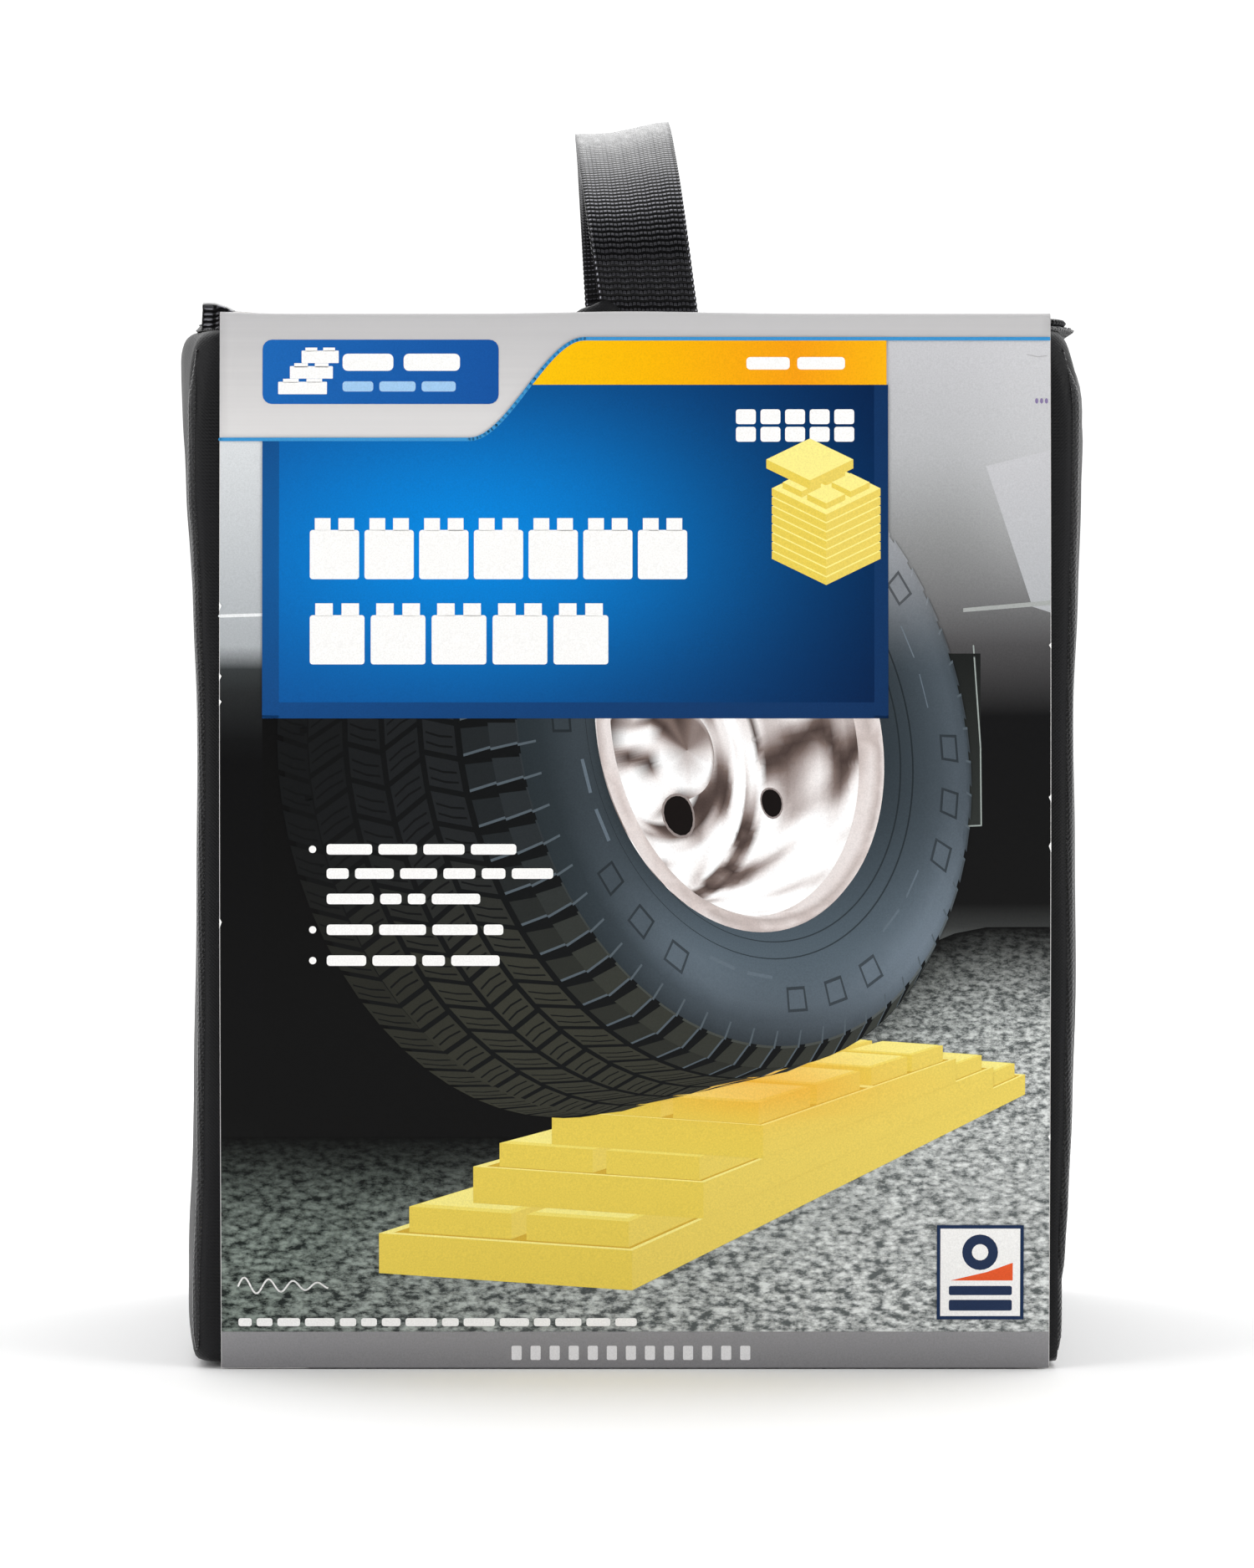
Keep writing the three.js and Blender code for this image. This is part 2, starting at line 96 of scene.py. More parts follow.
class Look:
    """A material with one Principled shader, and short calls for the nodes that feed it."""

    def __init__(self, name, color, roughness, metallic=0.0):
        self.mat = bpy.data.materials.new(name)
        self.mat.use_nodes = True
        self.tree = self.mat.node_tree
        self.shader = self.tree.nodes["Principled BSDF"]
        self.set("Base Color", color)
        self.set("Roughness", roughness)
        self.set("Metallic", metallic)
        self.mat.diffuse_color = color

    def set(self, socket, value):
        """A constant, or the output of a node, on one of the shader's sockets."""
        self.feed(self.shader.inputs[socket], value)

    def feed(self, socket, value):
        """Links a node's output to a socket, or sets the socket to a constant."""
        if isinstance(value, bpy.types.NodeSocket):
            self.tree.links.new(value, socket)
        elif value is not None:
            socket.default_value = value

    def node(self, kind, inputs=(), out=0, **settings):
        made = self.tree.nodes.new(kind)
        for key, value in settings.items():
            setattr(made, key, value)
        for key, value in dict(inputs).items():
            self.feed(made.inputs[key], value)
        return made.outputs[out]

    def place(self, kind="Object"):
        return self.node("ShaderNodeTexCoord", out=kind)

    def stretch(self, vector, scale):
        return self.node("ShaderNodeMapping", {"Vector": vector, "Scale": scale})

    def noise(self, vector, scale, detail=3.0, roughness=0.5):
        inputs = {"Vector": vector, "Scale": scale, "Detail": detail, "Roughness": roughness}
        return self.node("ShaderNodeTexNoise", inputs)

    def cells(self, vector, scale):
        return self.node("ShaderNodeTexVoronoi", {"Vector": vector, "Scale": scale}, feature="F1")

    def math(self, operation, a, b=None):
        return self.node("ShaderNodeMath", {0: a, 1: b}, operation=operation)

    def add(self, a, b):
        return self.math("ADD", a, b)

    def times(self, a, b):
        return self.math("MULTIPLY", a, b)

    def parts(self, vector):
        made = self.tree.nodes.new("ShaderNodeSeparateXYZ")
        self.feed(made.inputs[0], vector)
        return made.outputs

    def remap(self, value, low, high, to_low=0.0, to_high=1.0):
        inputs = {"Value": value, "From Min": low, "From Max": high}
        inputs.update({"To Min": to_low, "To Max": to_high})
        return self.node("ShaderNodeMapRange", inputs)

    def mix(self, share, a, b):
        made = self.tree.nodes.new("ShaderNodeMix")
        made.data_type = "RGBA"
        self.feed(made.inputs["Factor"], share)
        self.feed(made.inputs["A"], a)
        self.feed(made.inputs["B"], b)
        return made.outputs["Result"]

    def bump(self, height, distance, strength, under=None):
        inputs = {"Height": height, "Distance": distance, "Strength": strength, "Normal": under}
        return self.node("ShaderNodeBump", inputs)

    def painted(self, color):
        """A colour times the one that is painted on the mesh."""
        ink = self.node("ShaderNodeVertexColor", layer_name="ink")
        return self.node("ShaderNodeVectorMath", {0: ink, 1: color}, operation="MULTIPLY")


def woven(look, vector, pitch):
    """Height of a plain weave whose threads lie pitch metres apart along X, Y and Z."""
    turns = 2 * math.pi / pitch
    x, y, z = look.parts(vector)
    waves = [look.math("SINE", look.times(side, turns)) for side in (x, y, z)]
    across = look.add(waves[0], waves[1])
    return look.times(across, waves[2])


def nylon_look():
    look = Look("bag_nylon", srgb("131315"), 0.5)
    where = look.place()
    mottle = look.noise(where, 26, 4)
    look.set("Base Color", look.mix(look.remap(mottle, 0.3, 0.7), srgb("09090b"), srgb("131316")))
    look.set("Roughness", look.remap(mottle, 0.3, 0.75, 0.46, 0.62))
    weave = look.bump(woven(look, where, 0.0009), 0.00006, 0.5)
    crease = look.noise(look.stretch(where, (60, 60, 12)), 1.0, 3, 0.6)
    look.set("Normal", look.bump(crease, 0.0012, 0.35, weave))
    look.set("Sheen Weight", 0.06)
    look.set("Sheen Roughness", 0.4)
    look.set("Specular IOR Level", 0.22)
    return look.mat


RIB = 1.55  # millimetres from rib to rib of the handle's webbing
DASH = 1.06  # millimetres from dash to dash across it


def webbing_look():
    """Polyester webbing: the shiny filaments on each rib show as a row of short dashes.

    The UV map holds millimetres across and along the strap.
    """
    look = Look("strap_webbing", srgb("08080a"), 0.4)
    across, along, _ = look.parts(look.place("UV"))
    dash = look.math("ABSOLUTE", look.math("SINE", look.times(across, math.pi / DASH)))
    bowed = look.add(along, look.times(dash, -0.2))
    rib = look.math("SINE", look.times(bowed, 2 * math.pi / RIB))
    shine = look.times(look.remap(rib, 0.25, 0.8), look.remap(dash, 0.3, 0.7))
    fuzz = look.noise(look.place(), 900, 2)
    height = look.add(look.times(dash, 0.7), fuzz)
    look.set("Normal", look.bump(height, 0.0001, 0.5))
    look.set("Base Color", look.mix(shine, srgb("060607"), srgb("66666b")))
    look.set("Metallic", shine)
    look.set("Roughness", look.remap(fuzz, 0.3, 0.7, 0.11, 0.19))
    look.set("Specular IOR Level", 0.15)
    return look.mat


def tape_look():
    look = Look("binding_tape", srgb("121214"), 0.5)
    where = look.place()
    turned = look.node("ShaderNodeMapping", {"Vector": where, "Rotation": (0.6, 0.6, math.pi / 4)})
    look.set("Normal", look.bump(woven(look, turned, 0.0011), 0.0002, 0.8))
    look.set("Base Color", look.mix(look.noise(where, 300), srgb("0c0c0e"), srgb("1d1d20")))
    look.set("Sheen Weight", 0.4)
    return look.mat


def coil_look():
    look = Look("zipper_coil", srgb("17171a"), 0.38)
    look.set("Roughness", look.remap(look.noise(look.place(), 700), 0.3, 0.7, 0.3, 0.5))
    return look.mat


def zip_metal_look():
    look = Look("zipper_metal", srgb("1b1b1d"), 0.35, 0.6)
    wear = look.remap(look.noise(look.place(), 380, 5), 0.55, 0.75)
    look.set("Base Color", look.mix(wear, srgb("161618"), srgb("4a4a4e")))
    look.set("Roughness", look.remap(wear, 0, 1, 0.3, 0.5))
    return look.mat


def card_surface(look, where):
    """Gloss coat, faint fibre texture and soft waviness, shared by every printed face."""
    fibre = look.noise(where, 1500, 2)
    wave = look.noise(where, 22, 2)
    fine = look.bump(fibre, 0.00002, 0.25)
    look.set("Normal", look.bump(wave, 0.0012, 0.12, fine))
    look.set("Roughness", look.remap(fibre, 0.3, 0.7, 0.3, 0.42))
    look.set("Coat Weight", 0.03)
    look.set("Coat Roughness", 0.16)
    look.set("Specular IOR Level", 0.08)


def header_look():
    """Brushed grey of the card's header, lighter towards its lower edge."""
    look = Look("printed_card", srgb("cfcecd"), 0.4)
    where = look.place()
    _, _, z = look.parts(where)
    streak = look.noise(look.stretch(where, (4, 4, 900)), 1.0, 2)
    tone = look.add(look.remap(z, 0.268, 0.236, 0.0, 0.8), look.times(streak, 0.25))
    look.set("Base Color", look.mix(tone, srgb("b8b7b8"), srgb("dcdad9")))
    card_surface(look, where)
    return look.mat


def ink_look():
    """Printed ink: its colour is painted on the mesh, with the grain of the print over it."""
    look = Look("printed_ink", srgb("808080"), 0.4)
    where = look.place()
    grain = look.remap(look.noise(where, 2600, 2), 0.3, 0.7, 0.93, 1.07)
    look.set("Base Color", look.painted(grain))
    card_surface(look, where)
    return look.mat


def asphalt_look():
    """The printed road: speckled grey, finer towards the horizon, greener at the left."""
    look = Look("printed_asphalt", srgb("8d908c"), 0.4)
    where = look.place()
    x, _, z = look.parts(where)
    near = look.remap(z, 0.07, 0.02)
    speckle = look.noise(look.stretch(where, (480, 0, 1050)), 1.0, 6, 0.8)
    coarse = look.noise(look.stretch(where, (250, 0, 560)), 1.0, 5, 0.75)
    chips = look.cells(look.stretch(where, (420, 0, 800)), 1.0)
    speckle = look.add(speckle, look.times(look.math("SUBTRACT", coarse, speckle), near))
    tone = look.add(look.times(speckle, 2.7), look.times(chips, -0.5))
    tone = look.remap(tone, 0.82, 1.42)
    grey = look.mix(tone, srgb("5c6161"), srgb("e2e5e3"))
    green = look.mix(tone, srgb("1d2321"), srgb("88938b"))
    side = look.remap(look.add(x, look.times(z, -1.1)), -0.115, 0.03)
    look.set("Base Color", look.painted(look.mix(side, green, grey)))
    card_surface(look, where)
    return look.mat


def board_look():
    look = Look("card_board", srgb("e6e3dc"), 0.75)
    where = look.place()
    fibre = look.noise(look.stretch(where, (300, 300, 900)), 1.0, 5, 0.7)
    look.set("Base Color", look.mix(look.remap(fibre, 0.35, 0.7), srgb("d9d5cb"), srgb("f1efea")))
    look.set("Normal", look.bump(fibre, 0.00006, 0.4))
    return look.mat


def block_look():
    """Slightly translucent yellow polypropylene with a pebbled moulded surface."""
    look = Look("block_plastic", srgb("f0c21c"), 0.42)
    where = look.place()
    flow = look.noise(where, 14, 3)
    look.set("Base Color", look.mix(look.remap(flow, 0.3, 0.7), srgb("eab510"), srgb("f6d33a")))
    pebble = look.noise(where, 1400, 3)
    scuff = look.noise(look.stretch(where, (40, 260, 40)), 1.0, 4, 0.7)
    look.set("Roughness", look.remap(scuff, 0.35, 0.75, 0.34, 0.58))
    look.set("Normal", look.bump(pebble, 0.00012, 0.35))
    look.set("Subsurface Weight", 0.25)
    look.set("Subsurface Scale", 0.004)
    look.set("Subsurface Radius", (1.0, 0.7, 0.2))
    return look.mat


def thread_look():
    look = Look("thread", srgb("1c1c20"), 0.5)
    twist = look.noise(look.place(), 2200, 2)
    look.set("Base Color", look.mix(twist, srgb("131316"), srgb("3a3a40")))
    look.set("Sheen Weight", 0.3)
    return look.mat


NYLON = nylon_look()
THREAD = thread_look()
WEBBING = webbing_look()
TAPE = tape_look()
COIL = coil_look()
ZIP_METAL = zip_metal_look()
HEADER = header_look()
INK = ink_look()
ASPHALT = asphalt_look()
BOARD = board_look()
PLASTIC = block_look()


# Mesh helpers. Shapes are made in millimetres and turned into metres at the end.


def piece(name, points, faces, looks, slots=None):
    """A new object from points in millimetres. slots holds each face's place in looks."""
    mesh = bpy.data.meshes.new(name)
    mesh.from_pydata([Vector(p) * MM for p in points], [], faces)
    for mat in looks:
        mesh.materials.append(mat)
    if slots:
        mesh.polygons.foreach_set("material_index", slots)
    mesh.validate()
    mesh.polygons.foreach_set("use_smooth", [True] * len(mesh.polygons))
    obj = bpy.data.objects.new(name, mesh)
    bpy.context.scene.collection.objects.link(obj)
    return obj


def modify(obj, kind, **settings):
    modifier = obj.modifiers.new(kind.title(), kind)
    for key, value in settings.items():
        setattr(modifier, key, value)


def apply_modifiers(obj):
    """Bakes the modifiers into the mesh."""
    view = bpy.context.evaluated_depsgraph_get()
    shown = obj.evaluated_get(view)
    made = bpy.data.meshes.new_from_object(shown, preserve_all_data_layers=True, depsgraph=view)
    obj.modifiers.clear()
    obj.data = made
    return obj


def thicken(obj, thickness, offset, **settings):
    """Gives a sheet its thickness in millimetres: inwards at an offset of -1, outwards at 1."""
    modify(obj, "SOLIDIFY", thickness=thickness * MM, offset=offset, **settings)


def set_uv(obj, marks):
    """Writes each point's place in millimetres, across and along, to a UV map."""
    layer = obj.data.uv_layers.new(name="UVMap")
    for loop in obj.data.loops:
        layer.data[loop.index].uv = marks[loop.vertex_index]


def grid_faces(rows, columns, closed=False):
    """Quads over rows of points. closed joins the last column to the first."""
    faces = []
    for i in range(rows - 1):
        for j in range(columns if closed else columns - 1):
            k = (j + 1) % columns
            faces.append((i * columns + j, i * columns + k, (i + 1) * columns + k, (i + 1) * columns + j))
    return faces


def tube_faces(rings, sides, start=0):
    """Quads round a tube of rings of points, and a face over each end."""
    last = start + (rings - 1) * sides
    faces = [tuple(start + k for k in face) for face in grid_faces(rings, sides, closed=True)]
    faces.append(tuple(start + k for k in reversed(range(sides))))
    faces.append(tuple(last + k for k in range(sides)))
    return faces


def steps(low, high, count):
    return [low + (high - low) * i / count for i in range(count + 1)]


def smoothstep(value, low, high):
    t = min(max((value - low) / (high - low), 0.0), 1.0)
    return t * t * (3 - 2 * t)


def ripple(x, y, z, scale, seed=0.0):
    """Smooth noise between about -1 and 1, for folds. Coordinates are in millimetres."""
    return noise.noise(Vector((x / scale + seed, y / scale, z / scale)))


def follow(stops, value):
    """A number that passes smoothly through (value, number) stops."""
    for (a, low), (b, high) in zip(stops, stops[1:]):
        if value <= b:
            return low + (high - low) * smoothstep(value, a, b)
    return stops[-1][1]


# Carry bag

NYLON_THICK = 0.7
WALL_LIMIT = BLOCK_HALF + 0.9  # the walls don't fold in past the blocks

# How far the bag's sides belly out at some heights: left (-1) and right (1)
SIDE_REACH = {
    -1: [(0, 117.5), (10, 119.6), (30, 119.4), (72, 118.4), (105, 117.0), (180, 117.0), (222, 118.6),
         (250, 120.2), (268, 119.6)],
    1: [(0, 112.0), (10, 114.2), (104, 118.3), (137, 117.2), (169, 117.0), (201, 118.3), (240, 119.6),
        (252, 118.2), (268, 113.4)],
}

# How far the bag's front corners are drawn in at some heights
CORNER_TUCK = {
    -1: [(0, 0), (18, 0), (56, 1.0), (82, 1.3), (172, 1.4), (198, 0.5), (211, 0), (224, -0.8), (250, -0.9),
         (262, -1.6), (268, -1.2)],
    1: [(0, 5.8), (18, 4.7), (30, 3.2), (43, 2.5), (69, 1.8), (95, 1.2), (172, 1.3), (198, 0.7), (224, 0),
        (249, -0.3), (262, 1.4), (268, 2.0)],
}


def rounded_outline(half_x, half_y, radius, per_side=26, per_corner=6):
    """Points round a rounded rectangle, anticlockwise from its front right corner."""
    points = []
    corners = [(1, -1, -90), (1, 1, 0), (-1, 1, 90), (-1, -1, 180)]
    for sx, sy, start in corners:
        cx, cy = sx * (half_x - radius), sy * (half_y - radius)
        for i in range(per_corner + 1):
            angle = math.radians(start + 90 * i / per_corner)
            points.append((cx + radius * math.cos(angle), cy + radius * math.sin(angle)))
    full = []
    for a, b in zip(points, points[1:] + points[:1]):
        full.append(a)
        length = math.dist(a, b)
        if length > 3 * radius:
            full += [(a[0] + (b[0] - a[0]) * i / per_side, a[1] + (b[1] - a[1]) * i / per_side)
                     for i in range(1, per_side)]
    return full


def bag_wall_point(x, y, z):
    """Pushes a point of the bag's straight-sided outline out into its slack, folded shape."""
    side = 1 if x > 0 else -1
    on_side = smoothstep(abs(x), BAG_HALF - 12, BAG_HALF - 3)
    in_front = smoothstep(abs(y), BAG_HALF - 9, BAG_HALF - 2)
    along = y / BAG_HALF
    reach = follow(SIDE_REACH[side], z) - BAG_HALF
    belly = reach * (1 - abs(along) ** 2.6)
    slack = smoothstep(z, 2, 40) * (1 - 0.6 * in_front)
    fold = 1.3 * ripple(x * 0.2, y, z * 0.13, 24, 3.1) + 0.6 * ripple(x * 0.2, y, z * 0.3, 10, 9.4)
    slump = 2.2 * smoothstep(z, 225, 262) * ripple(side * 40, y * 1.2, z, 22, 6.2)
    tuck = follow(CORNER_TUCK[side], z) * (1 - smoothstep(y, -90, 20))
    push = on_side * (belly + slack * (fold + slump) - tuck)
    if abs(x) > WALL_LIMIT:
        push = max(push, WALL_LIMIT - abs(x))
    front = in_front * (0.35 * ripple(x, y * 0.2, z * 0.15, 14, 5.7) + 0.25 * ripple(x, y, z, 30, 8.0))
    return Vector((x + side * push, y + math.copysign(front, y), z))


def bag_body():
    """The bag's base and walls as one shell, from rings of (height, inset, corner radius)."""
    rows = []
    top = BAG_HIGH.z
    base = CARD_BASE + 0.3
    levels = [(base, -9, 10), (base, -3.5, 8), (base + 0.9, -1.2, 6), (base + 2.6, -0.2, 5)]
    levels += [(z, 0, 4) for z in steps(base + 8, top - 24, 40)]
    levels += [(top - 17, 0, 5), (top - 11, -0.1, 6), (top - 6, -0.3, 8), (top - 3, -0.6, 9)]
    levels += [(top - 0.9, -1.3, 10), (top, -2.4, 11), (top + 0.1, -3.8, 12), (top - 0.3, -5.4, 12)]
    for z, inset, radius in levels:
        half = BAG_HALF + inset
        rows.append([bag_wall_point(x, y, z) for x, y in rounded_outline(half - 0.4, half, radius)])
    columns = len(rows[0])
    points = [p for row in rows for p in row]
    faces = grid_faces(len(rows), columns, closed=True)
    points.append(Vector((0, 0, base)))
    hub = len(points) - 1
    faces += [((j + 1) % columns, j, hub) for j in range(columns)]
    shell = piece("bag_body", points, faces, [NYLON])
    thicken(shell, NYLON_THICK, -1)
    modify(shell, "SUBSURF", levels=1, render_levels=1)
    return shell


LID_EDGE = LID_HIGH.x - 1.5


def lid_point(x, y, back):
    """The lid is slack between its edges and lifts over the pegs below."""
    edge = min(LID_EDGE - abs(x), y + LID_EDGE, back - y)
    slack = 0.5 * smoothstep(edge, 0, 25) + 0.25 * ripple(x, y, 0, 34, 1.3) * smoothstep(edge, 0, 20)
    return Vector((x, y, LID_HIGH.z + slack - 0.5))


def bag_lid():
    """The lid with rounded front corners. Its back edge reaches over the hinge."""
    back = LID_HIGH.y + 6
    count = 40
    radius = 12
    points = []
    for y in steps(-LID_EDGE, back, count):
        for x in steps(-LID_EDGE, LID_EDGE, count):
            px, py = x, y
            corner = LID_EDGE - radius
            if abs(x) > corner and y < -corner:
                away = Vector((abs(x) - corner, -corner - y))
                limit = min(radius / max(away.length, 1e-6), 1.0)
                px = math.copysign(corner + away.x * limit, x)
                py = -corner - away.y * limit
            points.append(lid_point(px, py, back))
    lid = piece("bag_lid", points, grid_faces(count + 1, count + 1), [NYLON])
    thicken(lid, NYLON_THICK, -1)
    return apply_modifiers(lid)


bag = bag_body()
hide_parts("bag_front_panel", "bag_back_panel", "bag_left_panel", "bag_right_panel",
            "bag_base_panel")
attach(bag, "root")


def corner_piping(side, end):
    """A covered cord sewn down a corner of the bag."""
    sides, cord, tip = 8, 1.1, 14
    levels = steps(CARD_BASE + 4, BAG_HIGH.z - 5, 70)
    points = []
    for z in levels:
        fade = smoothstep(levels[-1] - z, 0, tip)
        inset = 1.5 + 1.5 * (1 - fade)
        middle = bag_wall_point(side * (BAG_HALF - inset), end * (BAG_HALF - inset), z)
        radius = cord * (0.2 + 0.8 * fade * smoothstep(z - levels[0], 0, 5))
        for k in range(sides):
            turn = 2 * math.pi * k / sides
            points.append(middle + Vector((radius * math.cos(turn), radius * math.sin(turn), 0)))
    name = f"{'front' if end < 0 else 'back'}_{'left' if side < 0 else 'right'}"
    piping = piece("corner_piping_" + name, points, tube_faces(len(levels), sides), [TAPE])
    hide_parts("seam_binding_" + name)
    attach(piping, "root")


for side in (-1, 1):
    for end in (-1, 1):
        corner_piping(side, end)

lid = bag_lid()
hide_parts("bag_lid_panel", "lid_hinge_tape")
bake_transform(lid)


# Zipper: it runs along the left side, round the front and back along the right side

COIL_WIDE = 2.5
ZIP_LINE = (COIL_HIGH.x - COIL_WIDE + LID_COIL_HIGH.x) / 2
ZIP_RADIUS = 14
ZIP_END = COIL_HIGH.y
COIL_Z = (COIL_LOW.z + COIL_HIGH.z) / 2


def zip_path(offset, spacing):
    """Points along the zipper, offset from its middle line, each with its outward direction."""
    radius = ZIP_RADIUS + offset
    centre = ZIP_LINE - ZIP_RADIUS
    straight = ZIP_END + centre
    bend = radius * math.pi / 2
    half = straight + bend + centre
    path = []
    count = int(half / spacing)
    for i in range(count + 1):
        s = half * i / count
        if s < straight:
            path.append((Vector((-ZIP_LINE - offset, ZIP_END - s, 0)), Vector((-1, 0, 0))))
        elif s < straight + bend:
            turn = math.pi + (s - straight) / radius
            out = Vector((math.cos(turn), math.sin(turn), 0))
            path.append((Vector((-centre, -centre, 0)) + out * radius, out))
        else:
            path.append((Vector((s - half, -ZIP_LINE - offset, 0)), Vector((0, -1, 0))))
    other = [(Vector((-p.x, p.y, 0)), Vector((-out.x, out.y, 0))) for p, out in reversed(path[:-1])]
    return path + other


def zip_lift(point):
    """The zipper buckles upwards near its front left corner."""
    away = math.hypot(point.x + ZIP_LINE + 0.5, (point.y + ZIP_LINE - 13) * 0.8)
    return 3.4 * (1 - smoothstep(away, 2, 13))


def zip_coil(name, offset, phase):
    """A flattened nylon coil: one loop for each tooth."""
    pitch, per_turn, sides, wire = 1.5, 8, 5, 0.36
    wide, tall = 1.35, 0.72
    up = Vector((0, 0, 1))
    path = zip_path(offset, pitch / per_turn)
    rings = []
    for i, (middle, out) in enumerate(path):
        turn = 2 * math.pi * (i / per_turn + phase)
        height = tall * math.sin(turn) + COIL_Z + zip_lift(middle)
        centre = middle + out * wide * math.cos(turn) + up * height
        along = up.cross(out)
        tangent = along * pitch / (2 * math.pi) + up * tall * math.cos(turn) - out * wide * math.sin(turn)
        side = (out * math.cos(turn) + up * math.sin(turn)).cross(tangent).normalized()
        across = tangent.normalized().cross(side)
        for k in range(sides):
            a = 2 * math.pi * k / sides
            rings.append(centre + (side * math.cos(a) + across * math.sin(a)) * wire)
    faces = grid_faces(len(path), sides, closed=True)
    last = (len(path) - 1) * sides
    faces += [tuple(range(sides)), tuple(last + sides - 1 - k for k in range(sides))]
    return piece(name, rings, faces, [COIL])


def zip_band(name, inner, outer, low, drop):
    """A strip of tape between two offsets from the zipper's middle line, lower at the outer one."""
    path, count = zip_path(0, 3), 5
    points = []
    for middle, out in path:
        for k in range(count + 1):
            share = k / count
            base = middle + out * (inner + (outer - inner) * share)
            height = low - drop * share * share + zip_lift(middle) * (1 - share)
            points.append(base + Vector((0, 0, height)))
    band = piece(name, points, grid_faces(len(path), count + 1), [TAPE])
    thicken(band, 0.5, 0)
    return band


def stitches(name, path, size=0.22, length=2.3):
    """Thread stitches lying on fabric, one between each two points of a path."""
    sides = 6
    points, faces = [], []
    for a, b in zip(path[::2], path[1::2]):
        along = (b - a).normalized()
        across = along.cross(Vector((0, 0, 1))).normalized()
        over = across.cross(along)
        start = len(points)
        for share, width in ((0, 0.3), (0.2, 1), (0.8, 1), (1, 0.3)):
            middle = a + along * length * share
            for k in range(sides):
                angle = 2 * math.pi * k / sides
                out = across * math.cos(angle) + over * math.sin(angle)
                points.append(middle + out * size * width)
        faces += tube_faces(4, sides, start)
    row = piece(name, points, faces, [THREAD])
    return row


def zip_half(body, cad_coil, cad_tape, side, phase, reach, drop, seam):
    """The coil, tape and seam of one half. seam is the stitches' offset and height."""
    coil = zip_coil(cad_coil + "_loops", side * 1.6, phase)
    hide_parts(cad_coil)
    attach(coil, body)
    band = zip_band(cad_tape + "_cloth", side * 0.5, reach, TAPE_Z + 0.15, drop)
    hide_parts(cad_tape)
    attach(band, body)
    line = [p + Vector((0, 0, seam[1] + 0.3 * zip_lift(p))) for p, _ in zip_path(seam[0], 1.7)]
    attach(stitches(cad_tape + "_stitching", line), body)


zip_half("root", "zipper_coil_bag", "zipper_tape_bag", 1, 0.0, 5.3, 0.9, (4.4, TAPE_Z - 0.1))
zip_half("lid", "zipper_coil_lid", "zipper_tape_lid", -1, 0.5, -8.0, 0.0, (-7.0, LID_HIGH.z - 0.35))


def tucked_tape():
    """The ribbed end of the lid's tape, folded up beside the sleeve at the front left corner."""
    columns, rows, wide = 16, 40, 7.6
    left, low, front = -BAG_HALF + 3.4, TAPE_Z - 1.0, -BAG_HALF + 1.2
    points, marks = [], []
    for i in range(rows + 1):
        v = i / rows
        bend = math.pi / 2 * smoothstep(v, 0.5, 0.9)
        y = front + 5.5 * max(v - 0.62, 0) + 1.6 * (1 - math.cos(bend))
        z = low + 5.4 * min(v, 0.62) / 0.62 + 1.0 * math.sin(bend)
        for k in range(columns + 1):
            u = k / columns
            phase = 6.5 * v + 0.22 * math.sin(7 * u)
            rib = 0.18 * math.sin(2 * math.pi * phase)
            sag = 0.3 * math.sin(3 * u) - 1.9 * u * u * min(v * 1.4, 1)
            points.append((left + wide * u - 0.5 * (1 - v), y - rib + 1.2 * u, z + sag))
            marks.append((0.35 * wide * u, RIB * (phase + 0.25)))
    tape = piece("tucked_tape", points, grid_faces(rows + 1, columns + 1), [WEBBING])
    set_uv(tape, marks)
    thicken(tape, 0.6, 1)
    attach(tape, "lid")


tucked_tape()


# Webbing handle

STRAP_HALF = STRAP_HIGH.x - 0.2
ROOT_Y = STRAP_HIGH.y - 0.9
CREST_Z = STRAP_HIGH.z - 0.9
ARCH_RISE = 41
LEAN = math.radians(-7.5)  # the handle stands leaning to the left
STRAP_THICK = 1.4


def strap_line(spacing):
    """Points of the strap's middle line as y, z and the direction out of its outer face."""
    foot = LID_HIGH.z + 0.6
    bend = 2.0
    arch_base = CREST_Z - ARCH_RISE
    half = [(y, foot, (0, -1)) for y in steps(-ROOT_Y + 28, -ROOT_Y + bend, 20)]
    for i in range(1, 5):
        angle = math.pi / 2 * i / 4
        y, z = bend * math.sin(angle), bend * math.cos(angle)
        half.append((-ROOT_Y + bend - y, foot + bend - z, (-math.sin(angle), -math.cos(angle))))
    leg = steps(foot + bend, arch_base, int((arch_base - foot) / spacing))
    half += [(-ROOT_Y, z, (-1, 0)) for z in leg[1:]]
    count = int(1.16 * ROOT_Y / spacing)
    for i in range(1, count + 1):
        angle = math.pi / 2 * i / count
        out = Vector((-ARCH_RISE * math.cos(angle), ROOT_Y * math.sin(angle))).normalized()
        half.append((-ROOT_Y * math.cos(angle), arch_base + ARCH_RISE * math.sin(angle), tuple(out)))
    return half + [(-y, z, (-out[0], out[1])) for y, z, out in reversed(half[:-1])]


def strap_middle(y, z):
    """How far the strap's middle line stands to the right: its front leg leans most."""
    base = -0.9 + 4.6 * smoothstep(-y, -60, 60)
    height = (z - LID_HIGH.z - 2) / (CREST_Z - LID_HIGH.z - 2)
    return base + (-3.6 - base) * min(max(height, 0.0), 1.0)


